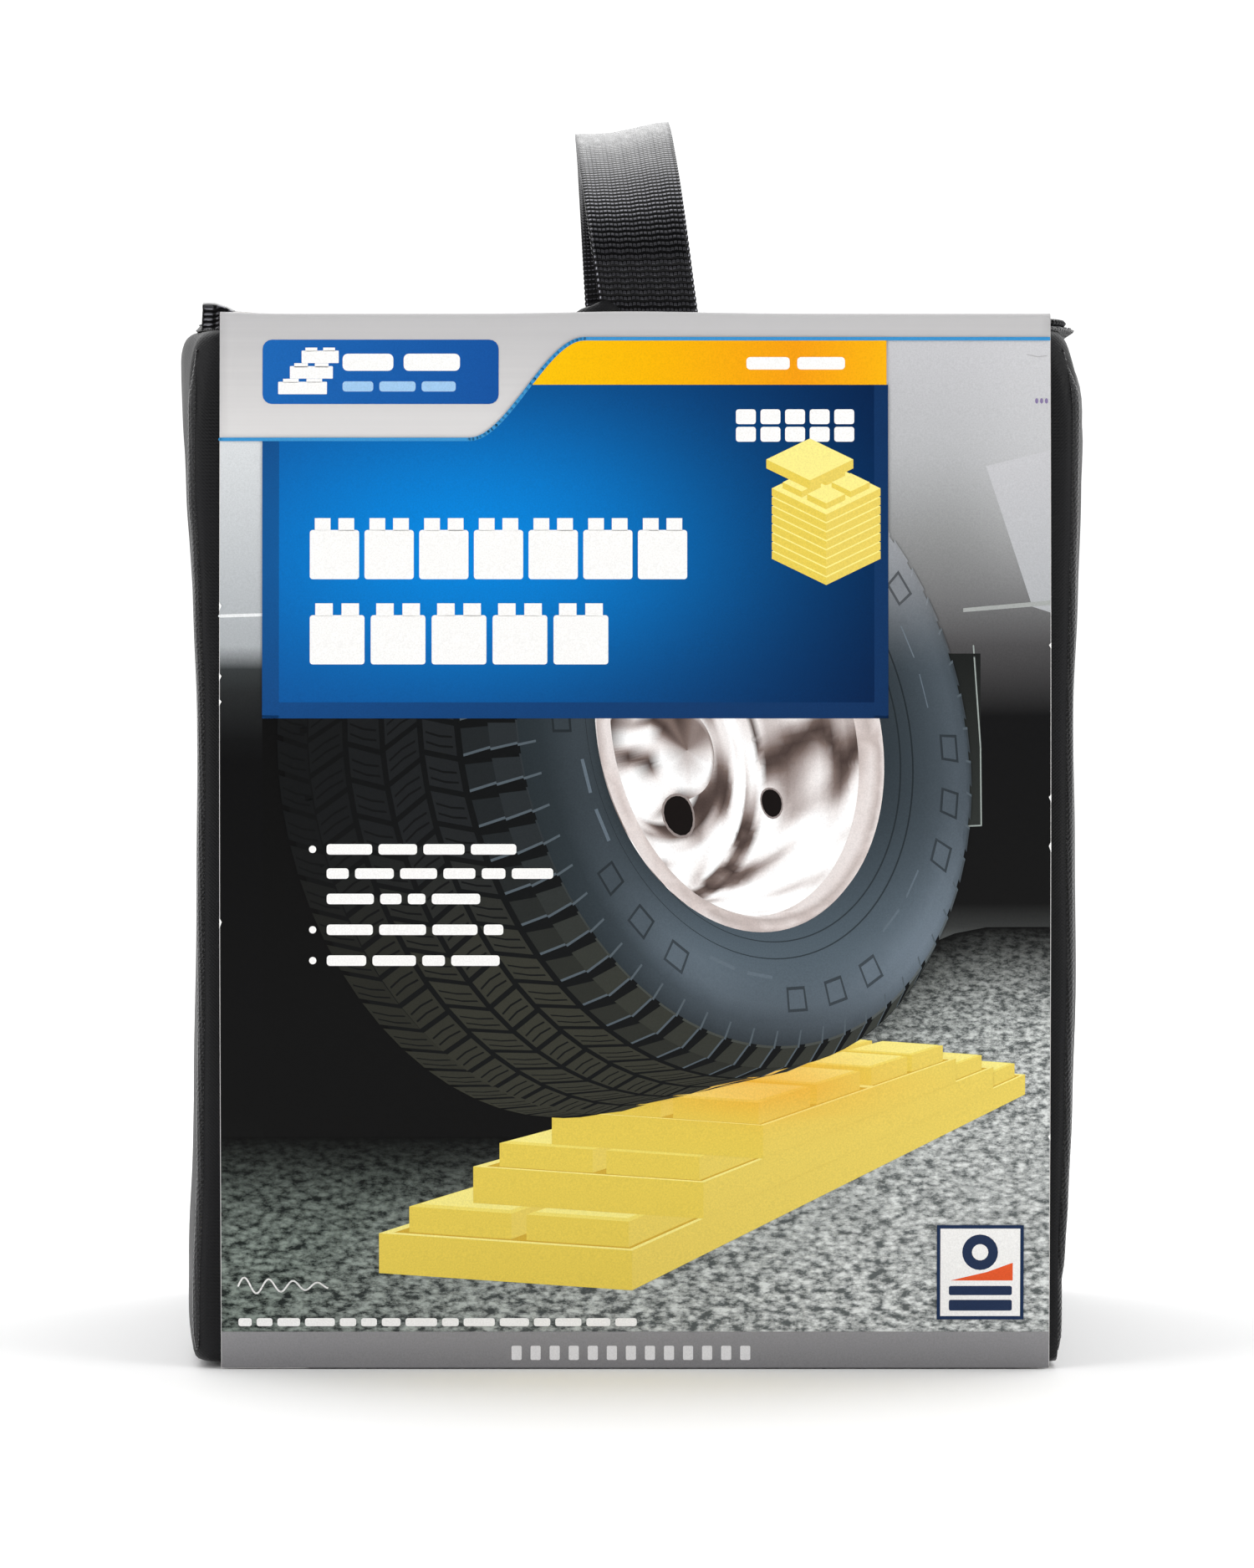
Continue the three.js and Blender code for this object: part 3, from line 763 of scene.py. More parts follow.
def strap():
    """Ribbed webbing: each rib crosses the strap in a shallow zigzag and ends in a scallop."""
    columns, per_rib = 24, 5
    line = strap_line(RIB / per_rib)
    axis = PIVOTS["handle_flop"].z
    points, marks, along = [], [], 0.0
    previous = line[0]
    for y, z, out in line:
        along += math.dist((y, z), previous[:2])
        previous = (y, z)
        share = smoothstep(z, axis + 2, CREST_Z)
        lean = LEAN * share
        middle = strap_middle(y, z)
        for k in range(columns + 1):
            side = 2 * k / columns - 1
            phase = along + 0.14 * abs((k + 1) % 4 - 2)
            height = 0.5 + 0.5 * math.sin(2 * math.pi * phase / RIB)
            x = side * (STRAP_HALF + (0.2 * height if abs(side) == 1 else 0))
            bulge = 0.35 * (1 - side * side) + 0.3 * ripple(x, along, 0, 18, 2.0)
            crown = bulge * share + 0.12 * height
            twist = share * (3.5 * smoothstep(x, -6, STRAP_HALF + 3) - 1.9)
            py = y + out[0] * crown
            pz = z + out[1] * crown + twist
            points.append((x * math.cos(lean) + middle, py, pz))
            marks.append((x + STRAP_HALF, phase))
    obj = piece("webbing_handle", points, grid_faces(len(line), columns + 1), [WEBBING])
    set_uv(obj, marks)
    thicken(obj, STRAP_THICK, 0)
    return apply_modifiers(obj)


def lid_fold():
    """A fold of the lid's nylon that stands up through the slot beside the handle."""
    points, around, up = [], 18, 7
    for i in range(up):
        angle = math.pi / 2 * i / up
        for k in range(around):
            turn = 2 * math.pi * k / around
            reach = math.cos(angle) * (1 + 0.08 * math.sin(3 * turn))
            x = -9.5 + 7.2 * reach * math.cos(turn)
            y = -ROOT_Y + 2.6 * reach * math.sin(turn) - 0.4
            z = LID_HIGH.z + 5.4 * math.sin(angle) + 0.8 * math.cos(turn) * math.sin(angle)
            points.append((x, y, z))
    faces = grid_faces(up, around, closed=True)
    points.append((-9.0, -ROOT_Y - 0.4, LID_HIGH.z + 5.6))
    last = (up - 1) * around
    faces += [(last + k, last + (k + 1) % around, len(points) - 1) for k in range(around)]
    faces.append(tuple(reversed(range(around))))
    fold = piece("lid_fold", points, faces, [NYLON])
    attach(fold, "lid")


lid_fold()
handle = strap()
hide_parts("handle_strap", "handle_root_front", "handle_root_back")
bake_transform(handle)


# Cardboard sleeve

CARD = 0.5
FRONT_BOW, BACK_BOW = 5.5, 3.2  # the front and back bow outwards between their creases
CREASE = 1.5
SLOT_HALF, SLOT_REACH = 14.5, 2.5


def front_y(z):
    """Outer face of the bowed front, as y."""
    return FRONT_Y + 0.1 - FRONT_BOW * math.sin(math.pi * min(max(z / CARD_TOP, 0), 1))


def front_normal(z):
    slope = FRONT_BOW * math.pi / CARD_TOP * math.cos(math.pi * z / CARD_TOP)
    return Vector((0, -1, -slope)).normalized()


def back_y(z):
    return BACK_Y - 0.1 + BACK_BOW * math.sin(math.pi * min(max(z / CARD_TOP, 0), 1))


def card_piece(name, points, faces):
    """Card with a printed outer face; its inner face and cut edges show the bare board."""
    obj = piece(name, points, faces, [HEADER, BOARD])
    thicken(obj, CARD, -1, material_offset=1, material_offset_rim=1)
    apply_modifiers(obj)
    return obj


# Printed pictures: flat shapes of ink laid over each other on the bowed card

BAND = 6.0  # a shape is cut into bands this high, so that it follows the bow
STEP = 0.005  # the least height between two layers of ink
RAMP_LIFT, WHEEL_LIFT, PANEL_LIFT, SIGN_LIFT = 0.04, 0.36, 0.46, 0.49
DEPTH_RELIEF = 0.0006  # nearer parts of the printed wheel lie this much higher per millimetre
PAPER = "f4f3f1"


def tint(stops, value):
    """The colour at a value, between (value, colour) stops."""
    previous = stops[0]
    for stop in stops:
        if value <= stop[0]:
            share = (value - previous[0]) / max(stop[0] - previous[0], 1e-6)
            return mixed(srgb(previous[1]), srgb(stop[1]), max(share, 0.0))
        previous = stop
    return srgb(stops[-1][1])


def upward(*stops):
    """A paint that changes with height."""
    return lambda _, z: tint(stops, z)


def mixed(a, b, share):
    return tuple(p + (q - p) * share for p, q in zip(a, b))


def clip(outline, level, side):
    """The part of an outline above (side 1) or below (side -1) a height."""
    kept = []
    for (ax, az), (bx, bz) in zip(outline, outline[1:] + outline[:1]):
        a_in, b_in = side * (az - level) >= 0, side * (bz - level) >= 0
        if a_in:
            kept.append((ax, az))
        if a_in != b_in:
            kept.append((ax + (bx - ax) * (level - az) / (bz - az), level))
    return [p for p, q in zip(kept, kept[1:] + kept[:1]) if math.dist(p, q) > 1e-4]


class Print:
    """One side's picture, drawn as (right, up) in millimetres. A shape's lift is its height over
    the card. Its paint is a colour, or a function of the place that gives one."""

    def __init__(self, surface):
        self.surface = surface
        self.points, self.normals, self.faces, self.paints, self.slots = [], [], [], [], []

    def shape(self, outline, paint, lift, slot=0):
        """Adds an outline as flat faces, one for each band of height that it crosses."""
        outline = list(outline)
        turn = sum(a[0] * b[1] - b[0] * a[1] for a, b in zip(outline, outline[1:] + outline[:1]))
        if turn < 0:
            outline.reverse()
        if isinstance(paint, str):
            paint = srgb(paint)
        band = math.floor(min(z for _, z in outline) / BAND)
        top = max(z for _, z in outline)
        while band * BAND < top:
            cut = clip(clip(outline, band * BAND, 1), (band + 1) * BAND, -1)
            band += 1
            if len(cut) < 3:
                continue
            start = len(self.points)
            for x, z in cut:
                point, normal = self.surface(x, z)
                self.points.append(point + normal * lift)
                self.normals.append(normal)
                self.paints.append(paint(x, z) if callable(paint) else paint)
            self.faces.append(tuple(range(start, len(self.points))))
            self.slots.append(slot)

    def columns(self, xs, low, high, paint, lift, slot=0):
        """Narrow upright strips side by side. low and high are heights, or functions of x."""
        lows = [low(x) if callable(low) else low for x in xs]
        highs = [high(x) if callable(high) else high for x in xs]
        ends = list(zip(xs, lows, highs))
        for (a, la, ha), (b, lb, hb) in zip(ends, ends[1:]):
            if ha - la + hb - lb > 0.02:
                self.shape([(a, la), (b, lb), (b, max(hb, lb)), (a, max(ha, la))], paint, lift, slot)

    def box(self, x0, z0, x1, z1, paint, lift, radius=0.0):
        self.shape(rounded_box(x0, z0, x1, z1, radius), paint, lift)

    def stroke(self, line, width, paint, lift):
        """A line of even width through some places, rounded where it bends."""
        for a, b in zip(line, line[1:]):
            along = Vector((b[0] - a[0], b[1] - a[1]))
            side = Vector((-along.y, along.x)).normalized() * width / 2
            self.shape([(a[0] + side.x, a[1] + side.y), (b[0] + side.x, b[1] + side.y),
                        (b[0] - side.x, b[1] - side.y), (a[0] - side.x, a[1] - side.y)], paint, lift)
            self.shape(disc(a[0], a[1], width / 2, 8), paint, lift)

    def bars(self, x0, x1, z, height, paint, lift, seed):
        """Rounded bars of uneven length in a line, where the pack has a line of small print."""
        chance = random.Random(seed)
        x = x0
        while x < x1 - 2 * height:
            end = min(x + height * chance.uniform(1.6, 4.6), x1)
            self.box(x, z - height / 2, end, z + height / 2, paint, lift, height * 0.3)
            x = end + height * 0.6

    def made(self, name, body):
        obj = piece(name, self.points, self.faces, [INK, ASPHALT], self.slots)
        layer = obj.data.color_attributes.new("ink", "FLOAT_COLOR", "POINT")
        layer.data.foreach_set("color", [value for paint in self.paints for value in paint])
        obj.data.normals_split_custom_set_from_vertices(self.normals)
        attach(obj, body)
        return obj


def disc(x, z, radius, sides=20, tall=1.0):
    turns = [2 * math.pi * i / sides for i in range(sides)]
    return [(x + radius * math.cos(t), z + radius * tall * math.sin(t)) for t in turns]


def rounded_box(x0, z0, x1, z1, radius):
    if radius <= 0:
        return [(x0, z0), (x1, z0), (x1, z1), (x0, z1)]
    points = []
    for cx, cz, start in ((x1, z0, -90), (x1, z1, 0), (x0, z1, 90), (x0, z0, 180)):
        for i in range(5):
            angle = math.radians(start + 22.5 * i)
            sx, sz = (1 if cx == x1 else -1), (1 if cz == z1 else -1)
            points.append((cx + radius * (math.cos(angle) - sx), cz + radius * (math.sin(angle) - sz)))
    return points


# Printed leveling blocks: boxes in blocks to the left, away and up, seen in perspective

YELLOWS = {
    "top": "f5e888",
    "rim": "f5e88a",
    "deck": "d0aa3a",
    "front": "e3c954",
    "side": "e5cc60",
    "peg": "eedb6c",
}
PEG = 0.41
PEG_LOW, PEG_HIGH = 0.93, 1.58


def ramp_view(origin, size, recede=0.25):
    """A function that gives the picture place of a point of the ramp."""

    def place(x, y, z):
        far = 1 + recede * y
        right = size * (-65.0 * x + 50.4 * y) / far
        up = size * (4.5 * x + 25.3 * y + 10.3 * z) / far
        return origin[0] + right, origin[1] + up

    return place


def stack_view(origin, size):
    """The same for a stack seen with one corner towards the viewer."""

    def place(x, y, z):
        return origin[0] + size * (y * 0.87 - x * 0.87), origin[1] + size * (0.42 * (x + y) + 0.12 * z)

    return place


def printed_block(sheet, view, corner, lift, warm=None, pegs=True):
    """One block from its near right bottom corner: front, side, rim, deck and four pegs."""
    x, y, z = corner

    def paint(kind):
        base = srgb(YELLOWS[kind])
        return (lambda px, pz: warm(base, px, pz)) if warm else base

    def wall(ax, ay, bx, by, low, high, kind, rise):
        flat = [view(ax, ay, low), view(bx, by, low), view(bx, by, high), view(ax, ay, high)]
        sheet.shape(flat, paint(kind), lift + rise)

    def level(x0, y0, x1, y1, height, kind, rise):
        corners = [(x0, y0), (x1, y0), (x1, y1), (x0, y1)]
        sheet.shape([view(cx, cy, height) for cx, cy in corners], paint(kind), lift + rise)

    wall(x, y, x + 1, y, z, z + 1, "front", 0)
    wall(x, y, x, y + 1, z, z + 1, "side", 0)
    level(x, y, x + 1, y + 1, z + 1, "rim", 0)
    if not pegs:
        return
    outline = [(0, 0, 0), (1, 0, 0), (1, 0, 1), (1, 1, 1), (0, 1, 1), (0, 1, 0)]
    sheet.shape([view(x + a, y + b, z + c) for a, b, c in outline], paint("deck"), lift - STEP)
    level(x + 0.03, y + 0.03, x + 0.97, y + 0.97, z + 0.97, "deck", STEP)
    for iy in (1, 0):
        for ix in (1, 0):
            px, py = x + 0.06 + 0.47 * ix, y + 0.06 + 0.47 * iy
            rise = STEP * (4.5 - 2 * iy - ix)
            wall(px, py, px + PEG, py, z + PEG_LOW, z + PEG_HIGH, "front", rise)
            wall(px, py, px, py + PEG, z + PEG_LOW, z + PEG_HIGH, "side", rise)
            level(px, py, px + PEG, py + PEG, z + PEG_HIGH, "peg", rise)
            far_x, far_y = px + PEG - 0.02, py + PEG - 0.02
            level(px + 0.02, py + 0.02, far_x, far_y, z + PEG_HIGH + 0.04, "top", rise + 0.4 * STEP)


def printed_ramp(sheet, origin, size, lift, warm=None):
    """Three levels of blocks, each starting further back than the one below."""
    view = ramp_view(origin, size)
    for level, (start, count) in enumerate(((0.0, 4), (0.4, 3), (0.8, 2))):
        for i in reversed(range(count)):
            rise = STEP * (22 * level + 5 * (count - i))
            printed_block(sheet, view, (0, start + i, level), lift + rise, warm)


# Printed tyre and wheel: a turned profile, seen from the front right

TYRE_CENTRE = Vector((1.2, 0.0, 156.3))
TYRE_AXIS = Vector((0.69, -0.70, 0.17)).normalized()
TYRE_UP = (Vector((0, 0, 1)) - TYRE_AXIS * TYRE_AXIS.z).normalized()
TYRE_SIDE = TYRE_AXIS.cross(TYRE_UP)
TREAD_RADIUS = 86.0
LUGS = 58
LIGHT = Vector((0.62, -0.62, 0.48)).normalized()


def wheel_point(a, r, turn):
    return TYRE_CENTRE + TYRE_AXIS * a + (TYRE_UP * math.cos(turn) + TYRE_SIDE * math.sin(turn)) * r


def wheel_patch(sheet, corners, shader, lift, bends=None):
    """A patch of the wheel from its (along the axis, radius, turn) corners, if it faces the viewer.
    bends holds the smooth normals of the corners, where the patch is part of a rounded face."""
    points = [wheel_point(*corner) for corner in corners]
    normal = (points[3] - points[1]).cross(points[2] - points[0]).normalized()
    if normal.y > -0.02:
        return
    middle = sum(points, Vector()) / len(points)
    if bends:
        colors = [shader(point, bend) for point, bend in zip(points, bends)]
        paint = spread([(p.x, p.z) for p in points], colors)
    else:
        paint = shader(middle, normal)
    sheet.shape([(p.x, p.z) for p in points], paint, lift - middle.y * DEPTH_RELIEF)


def spread(places, colors):
    """A paint that passes smoothly from corner to corner."""

    def paint(x, z):
        weights = [1 / ((x - px) ** 2 + (z - pz) ** 2 + 1e-6) for px, pz in places]
        total = sum(weights)
        return tuple(sum(w * c[i] for w, c in zip(weights, colors)) / total for i in range(4))

    return paint


def shadowed(color, middle):
    """The wheel goes dark to the left and hazy above the wheel arch."""
    dark = smoothstep(middle.x, -98, -25)
    color = mixed(srgb("0b0c0c"), color, 0.12 + 0.88 * dark)
    return mixed(color, srgb("aeb0b4"), 0.85 * smoothstep(middle.z, 178, 226))


def rubber(middle, normal):
    light = max(normal.dot(LIGHT), 0.0)
    gloss = max(normal.dot(Vector((0.85, -0.5, -0.12)).normalized()), 0.0) ** 9
    color = tint([(0, "111416"), (0.35, "20272b"), (0.75, "3a454d"), (1, "54616b")], light * 0.9 + 0.05)
    color = mixed(color, srgb("8f9dab"), 0.5 * gloss)
    color = mixed(color, srgb("23282b"), 0.55 * smoothstep(middle.z, 105, 150))
    color = mixed(color, srgb("1b2224"), 0.5 * smoothstep(22 - middle.x, 0, 30))
    return shadowed(mixed(color, srgb("1d2123"), 0.75 * smoothstep(110 - middle.z, 0, 34)), middle)


def tread_rubber(middle, normal):
    warm = smoothstep(140 - middle.z, 0, 45)
    color = mixed(srgb("34383b"), srgb("565648"), warm)
    return shadowed(mixed(srgb("101112"), color, 0.35 + 0.65 * max(normal.dot(LIGHT), 0.0)), middle)


def groove(middle, _):
    return shadowed(srgb("0d0f10"), middle)


def chrome(middle, normal):
    """Bright metal that mirrors a striped surrounding."""
    mirror = Vector((0, 1, 0)) - 2 * normal.y * normal
    wave = 2.2 * ripple(middle.x, middle.y * 3, middle.z, 17, 4.0)
    tone = 0.62 + 0.42 * math.sin(4.2 * mirror.z + 2.4 * mirror.x + wave)
    stops = [(0.16, "2a1d1b"), (0.32, "75655f"), (0.5, "b5aaa7"), (0.7, "e9e3e1"), (0.95, "ffffff")]
    return tint(stops, tone)


def turned(sheet, profile, count, shader, lift):
    """A face turned round the axis, shaded smoothly along its profile of (along the axis, radius)."""
    sides = [Vector((r0 - r1, a1 - a0)).normalized() for (a0, r0), (a1, r1) in zip(profile, profile[1:])]
    slopes = [(a + b).normalized() for a, b in zip(sides[:1] + sides, sides + sides[-1:])]

    def bend(k, turn):
        around = TYRE_UP * math.cos(turn) + TYRE_SIDE * math.sin(turn)
        return TYRE_AXIS * slopes[k].x + around * slopes[k].y

    for k, ((a0, r0), (a1, r1)) in enumerate(zip(profile, profile[1:])):
        for i in range(count):
            t0, t1 = 2 * math.pi * i / count, 2 * math.pi * (i + 1) / count
            corners = [(a0, r0, t0), (a1, r1, t0), (a1, r1, t1), (a0, r0, t1)]
            bends = [bend(k, t0), bend(k + 1, t0), bend(k + 1, t1), bend(k, t1)]
            wheel_patch(sheet, corners, shader, lift, bends)


def tread(sheet, lift):
    """Rows of raised blocks with slanted gaps and fine cuts, and lugs on the shoulder."""
    pitch = 2 * math.pi / LUGS
    base = [(a, TREAD_RADIUS - 0.7) for a in steps(-43, 32, 12)]
    turned(sheet, [(-47, 81), *base, (39, 79.5)], 90, groove, lift)
    long = 0.84 * pitch
    rows = [(-46, -35, 0.5), (-33, -20.5, -0.4), (-18.5, -7, 0.45), (-5, 7, -0.45), (9, 20.5, 0.4)]
    for row, (a0, a1, slant) in enumerate(rows):
        for i in range(LUGS):
            t = pitch * (i + 0.37 * row)
            skew = pitch * slant
            r = TREAD_RADIUS - (1.5 if row == 0 else 0)
            block = [(a0, r, t), (a1, r, t + skew), (a1, r, t + skew + long), (a0, r, t + long)]
            wheel_patch(sheet, block, tread_rubber, lift + 0.006)
            for cut in (0.3, 0.58):
                c = t + pitch * cut
                mid = (a0 + a1) / 2
                thin = pitch * 0.06
                for b0, b1, s0, s1 in ((a0 + 1, mid, 0.1, 0.62), (mid, a1 - 1, 0.62, 0.9)):
                    slit = [(b0, r, c + skew * s0), (b1, r, c + skew * s1),
                            (b1, r, c + skew * s1 + thin), (b0, r, c + skew * s0 + thin)]
                    wheel_patch(sheet, slit, groove, lift + 0.012)
    def shoulder(middle, normal):
        return mixed(rubber(middle, normal), tread_rubber(middle, normal), 0.55)

    def lit_edge(middle, _):
        return shadowed(srgb("525c63"), middle)

    for i in range(LUGS):
        t = pitch * i
        end = t + pitch * 0.78
        for a0, r0, a1, r1 in ((23, 86.2, 32, 85.2), (32, 85.2, 38, 81.2), (38, 81.2, 40.5, 77)):
            lug = [(a0, r0, t), (a1, r1, t + 0.01), (a1, r1, end - 0.006), (a0, r0, end)]
            wheel_patch(sheet, lug, shoulder, lift + 0.006)
            edge = [(a0, r0, end - 0.008), (a1, r1, end - 0.014), (a1, r1, end - 0.006), (a0, r0, end)]
            wheel_patch(sheet, edge, lit_edge, lift + 0.012)


def sidewall_marks(sheet, lift):
    """Plain bars and squares moulded round the sidewall."""

    def dark(middle, normal):
        return mixed(rubber(middle, normal), srgb("14181a"), 0.65)

    def bright(middle, _):
        return shadowed(srgb("5f6b75"), middle)

    def mark(outer, inner, start, end, shader, rise):
        corners = [(42.4, outer, start), (42.8, inner, start), (42.8, inner, end), (42.4, outer, end)]
        wheel_patch(sheet, corners, shader, lift + rise)

    for r in (53.6, 58.0):
        turned(sheet, [(40.4, r + 0.35), (40.2, r)], 120, dark, lift)
    count = 30
    for i in range(count):
        t = 2 * math.pi * i / count
        if i % 5 in (0, 1, 2):
            mark(72.5, 66, t, t + 0.1, dark, STEP)
            mark(71.7, 66.8, t + 0.01, t + 0.09, rubber, 2 * STEP)
        else:
            mark(64, 63.2, t, t + 0.14, bright, STEP)


def printed_wheel(sheet, lift):
    """Tyre, rim flange, dished wheel and its four bolt holes."""
    tread(sheet, lift)
    wall = [(38, 80.5), (41.5, 76), (43, 71), (43, 66), (42, 61), (40, 56.5), (37.5, 52.5), (35.5, 50)]
    turned(sheet, wall, 110, rubber, lift + 0.01)
    sidewall_marks(sheet, lift + 0.014)
    flange = [(36.5, 50.6), (38.6, 49.6), (38.8, 47.8), (37, 46.6), (33, 46)]
    turned(sheet, flange, 96, lambda m, n: mixed(chrome(m, n), srgb("d5c8c4"), 0.7), lift + 0.02)
    dish = [(33, 46), (30, 45), (24, 43.6), (17, 41.8), (10, 40), (5, 38), (3, 35), (5, 31), (7, 26),
            (7, 21), (4, 16)]
    fine = [(a0 + (a1 - a0) * k / 3, r0 + (r1 - r0) * k / 3)
            for (a0, r0), (a1, r1) in zip(dish, dish[1:]) for k in range(3)]
    turned(sheet, fine + [(4, 16), (9, 13), (15, 12), (17, 9), (17.5, 0.1)], 120, chrome, lift + 0.02)
    depth, circle = 27, 24
    for i, size in enumerate((3.0, 5.2, 3.6, 3.0)):
        turn = math.pi / 2 * (i + 0.56)
        for growth, color, rise in ((1.14, "8f8481", 0.045), (1.0, "120d0c", 0.05)):
            ring = []
            for k in range(18):
                angle = 2 * math.pi * k / 18
                across, along = size * growth * math.cos(angle), size * growth * math.sin(angle)
                ring.append(wheel_point(depth, circle + along, turn + across / circle))
            sheet.shape([(p.x, p.z) for p in ring], color, lift + rise - DEPTH_RELIEF * ring[0].y)


# The front's picture

HEADER_LOW, HEADER_HIGH = 238.8, 264.6
PANEL = (-95.5, 167.4, 64.8, 252.8)
FOOT_BAND = 9.7
EDGE = CARD_HALF - 0.15


def header_line(x):
    """Height of the header's lower edge, which steps up over the panel."""
    return HEADER_LOW + (HEADER_HIGH - HEADER_LOW) * smoothstep(x, -42.5, -13)


def panel_blue(x, z):
    glow = math.exp(-(((x + 45) / 62) ** 2 + ((z - 212) / 34) ** 2))
    return mixed(tint([(-95, "0d4a8c"), (64, "021c42")], x), srgb("0280d4"), glow)


def strip_yellow(x, _):
    return tint([(-28, "f4be08"), (5, "f2b204"), (42, "ee9a10"), (64, "f4b010")], x)


def left_strip(_, z):
    """The dark arch, the chrome trim and the pale body left of the panel, from the foot up."""
    stops = [(0, "39403d"), (40, "181c1a"), (62, "080808"), (160, "09090a"), (178, "2b2d2e"),
             (181, "3a3e3f"), (181.4, "8e958c"), (183.8, "a0a69d"), (184.2, "a7abae"), (200, "b4b8bb"),
             (239, "d5d8da")]
    return tint(stops, z)


def right_side(x, z):
    """The pale vehicle body, darker towards the wheel arch, over black."""
    stops = [(104, "747776"), (116, "0f0f0f"), (168, "111112"), (186, "4c4b4c"), (196, "6c6c6d"),
             (214, "8d8e8e"), (236, "b4b5b7"), (264, "c3c3c6")]
    gleam = 0.35 * smoothstep(x, 78, 106) * smoothstep(z, 190, 230)
    return mixed(tint(stops, z), srgb("d4d4d6"), gleam)


def road_line(x):
    """Height of the road's far edge, which climbs to the right."""
    return 60 + 54 * smoothstep(x, -5, 92)


def road_shade(x, z):
    shade = 1 - smoothstep(z, road_line(x) - 28, road_line(x) + 1)
    return (shade, shade, shade, 1.0)


def backdrop(sheet):
    """The vehicle's body, the dark under it and the road."""
    left, low, right, _ = PANEL
    sheet.columns([-EDGE, left - 5, left], FOOT_BAND, header_line, left_strip, 0.01)
    sheet.columns(steps(left, right, 8), FOOT_BAND, low, "080808", 0.01)
    sheet.columns(steps(right, EDGE, 8), FOOT_BAND, HEADER_HIGH, right_side, 0.01)
    sheet.shape([(89.9, 232), (EDGE, 236), (EDGE, 194.5), (101.7, 196)],
                upward((195, "aeb0b3"), (236, "c4c4c7")), 0.015)
    sheet.shape([(84, 194.6), (EDGE, 196.4), (EDGE, 197.6), (84, 195.6)], "a3a6a4", 0.018)
    sheet.box(79, 140, 88.4, 184, upward((140, "2d302e"), (184, "1b1d1c")), 0.018)
    sheet.stroke([(86.6, 186), (88.4, 160), (88.6, 140), (79, 139.6)], 0.35, "9aa39f", 0.02)
    sheet.stroke([(-EDGE, 193.6), (left, 193.9)], 0.8, "e9ebec", 0.018)
    sheet.columns(steps(-EDGE, EDGE, 26), FOOT_BAND, road_line, road_shade, 0.03, slot=1)


def panel(sheet):
    """The blue panel with its darker border, and the orange strip over it."""

    def border(x, z):
        return mixed(panel_blue(x, z), srgb("163a68"), 0.55)

    left, low, right, high = PANEL
    xs = steps(left, -42.5, 8) + steps(-41, -26, 15) + steps(-24, right, 14)
    sheet.columns(xs, low, lambda x: min(header_line(x), high), panel_blue, PANEL_LIFT)
    lift = PANEL_LIFT + STEP
    sheet.box(left, low, left + 4.3, HEADER_LOW, border, lift)
    sheet.box(right - 3.6, low, right, high, border, lift)
    sheet.box(left, low, right, low + 4.1, border, lift)
    xs = steps(-27.6, -12.6, 15) + steps(-12, right - 0.4, 10)
    sheet.columns(xs, high, header_line, strip_yellow, lift)


def block_sign(sheet, x, z, width, height, paint, lift):
    """A plain sign of a block: a rounded body with two pegs."""
    sheet.box(x, z, x + width, z + height, paint, lift, height * 0.06)
    for k in (0.1, 0.58):
        sheet.box(x + width * k, z + height - 0.3, x + width * (k + 0.32), z + height * 1.24, paint, lift)


def panel_signs(sheet):
    """Plain signs where the pack has its titles."""
    for z, count, pitch, width in ((203.0, 7, 14.0, 12.6), (181.2, 5, 15.6, 14.0)):
        for i in range(count):
            block_sign(sheet, -83.3 + pitch * i, z, width, 12.6, PAPER, SIGN_LIFT)
    for i in range(5):
        for k in range(2):
            x, z = 25.8 + 6.3 * i, 238.2 + 4.5 * k
            sheet.box(x, z, x + 5.1, z + 3.8, PAPER, SIGN_LIFT, 0.7)
    sheet.bars(28.5, 57, 258.3, 3.2, PAPER, SIGN_LIFT, 5)
    view = stack_view((48.9, 201.5), 16.0)
    for level in range(8):
        printed_block(sheet, view, (0, 0, level * 1.2), SIGN_LIFT + STEP * level, pegs=False)
    for ix, iy in ((1, 1), (0, 1), (1, 0), (0, 0)):
        corner = (0.1 + 0.45 * ix, 0.1 + 0.45 * iy, 9.4)
        small_block(sheet, view, corner, (0.35, 0.35, 0.8), SIGN_LIFT + STEP * (11 - ix - iy))
    small_block(sheet, view, (0.5, 0.2, 10.3), (0.8, 0.8, 1.2), SIGN_LIFT + STEP * 12)


def small_block(sheet, view, corner, size, lift):
    """A plain box: its front, side and top."""
    x, y, z = corner
    w, d, h = size
    near, left, right, far = (0, 0), (w, 0), (0, d), (w, d)
    for kind, (ax, ay), (bx, by) in (("front", near, left), ("side", near, right)):
        a, b = (x + ax, y + ay), (x + bx, y + by)
        sheet.shape([view(*a, z), view(*b, z), view(*b, z + h), view(*a, z + h)], YELLOWS[kind], lift)
    top = [view(x + a, y + b, z + h) for a, b in (near, left, far, right)]
    sheet.shape(top, YELLOWS["rim"], lift)


def header(sheet):
    """The line under the grey header, and a blue label with a plain sign and bars."""
    xs = [-EDGE] + steps(-42.5, -13, 30) + [EDGE]
    sheet.stroke([(x, header_line(x)) for x in xs], 0.9, "3a8fc8", SIGN_LIFT)
    blue = [(-95, "1b62ae"), (-35, "14509a")]
    sheet.box(-95.5, 247.9, -35, 264.4, lambda x, _: tint(blue, x), 0.1, 2.4)
    for i in range(3):
        block_sign(sheet, -91.5 + 3.0 * i, 250.4 + 4.0 * i, 12.5 - 1.5 * i, 3.2, PAPER, 0.12)
    sheet.bars(-75, -39, 258.6, 4.4, PAPER, 0.12, 11)
    sheet.bars(-75, -46, 252.4, 2.6, "9cc3e6", 0.12, 12)


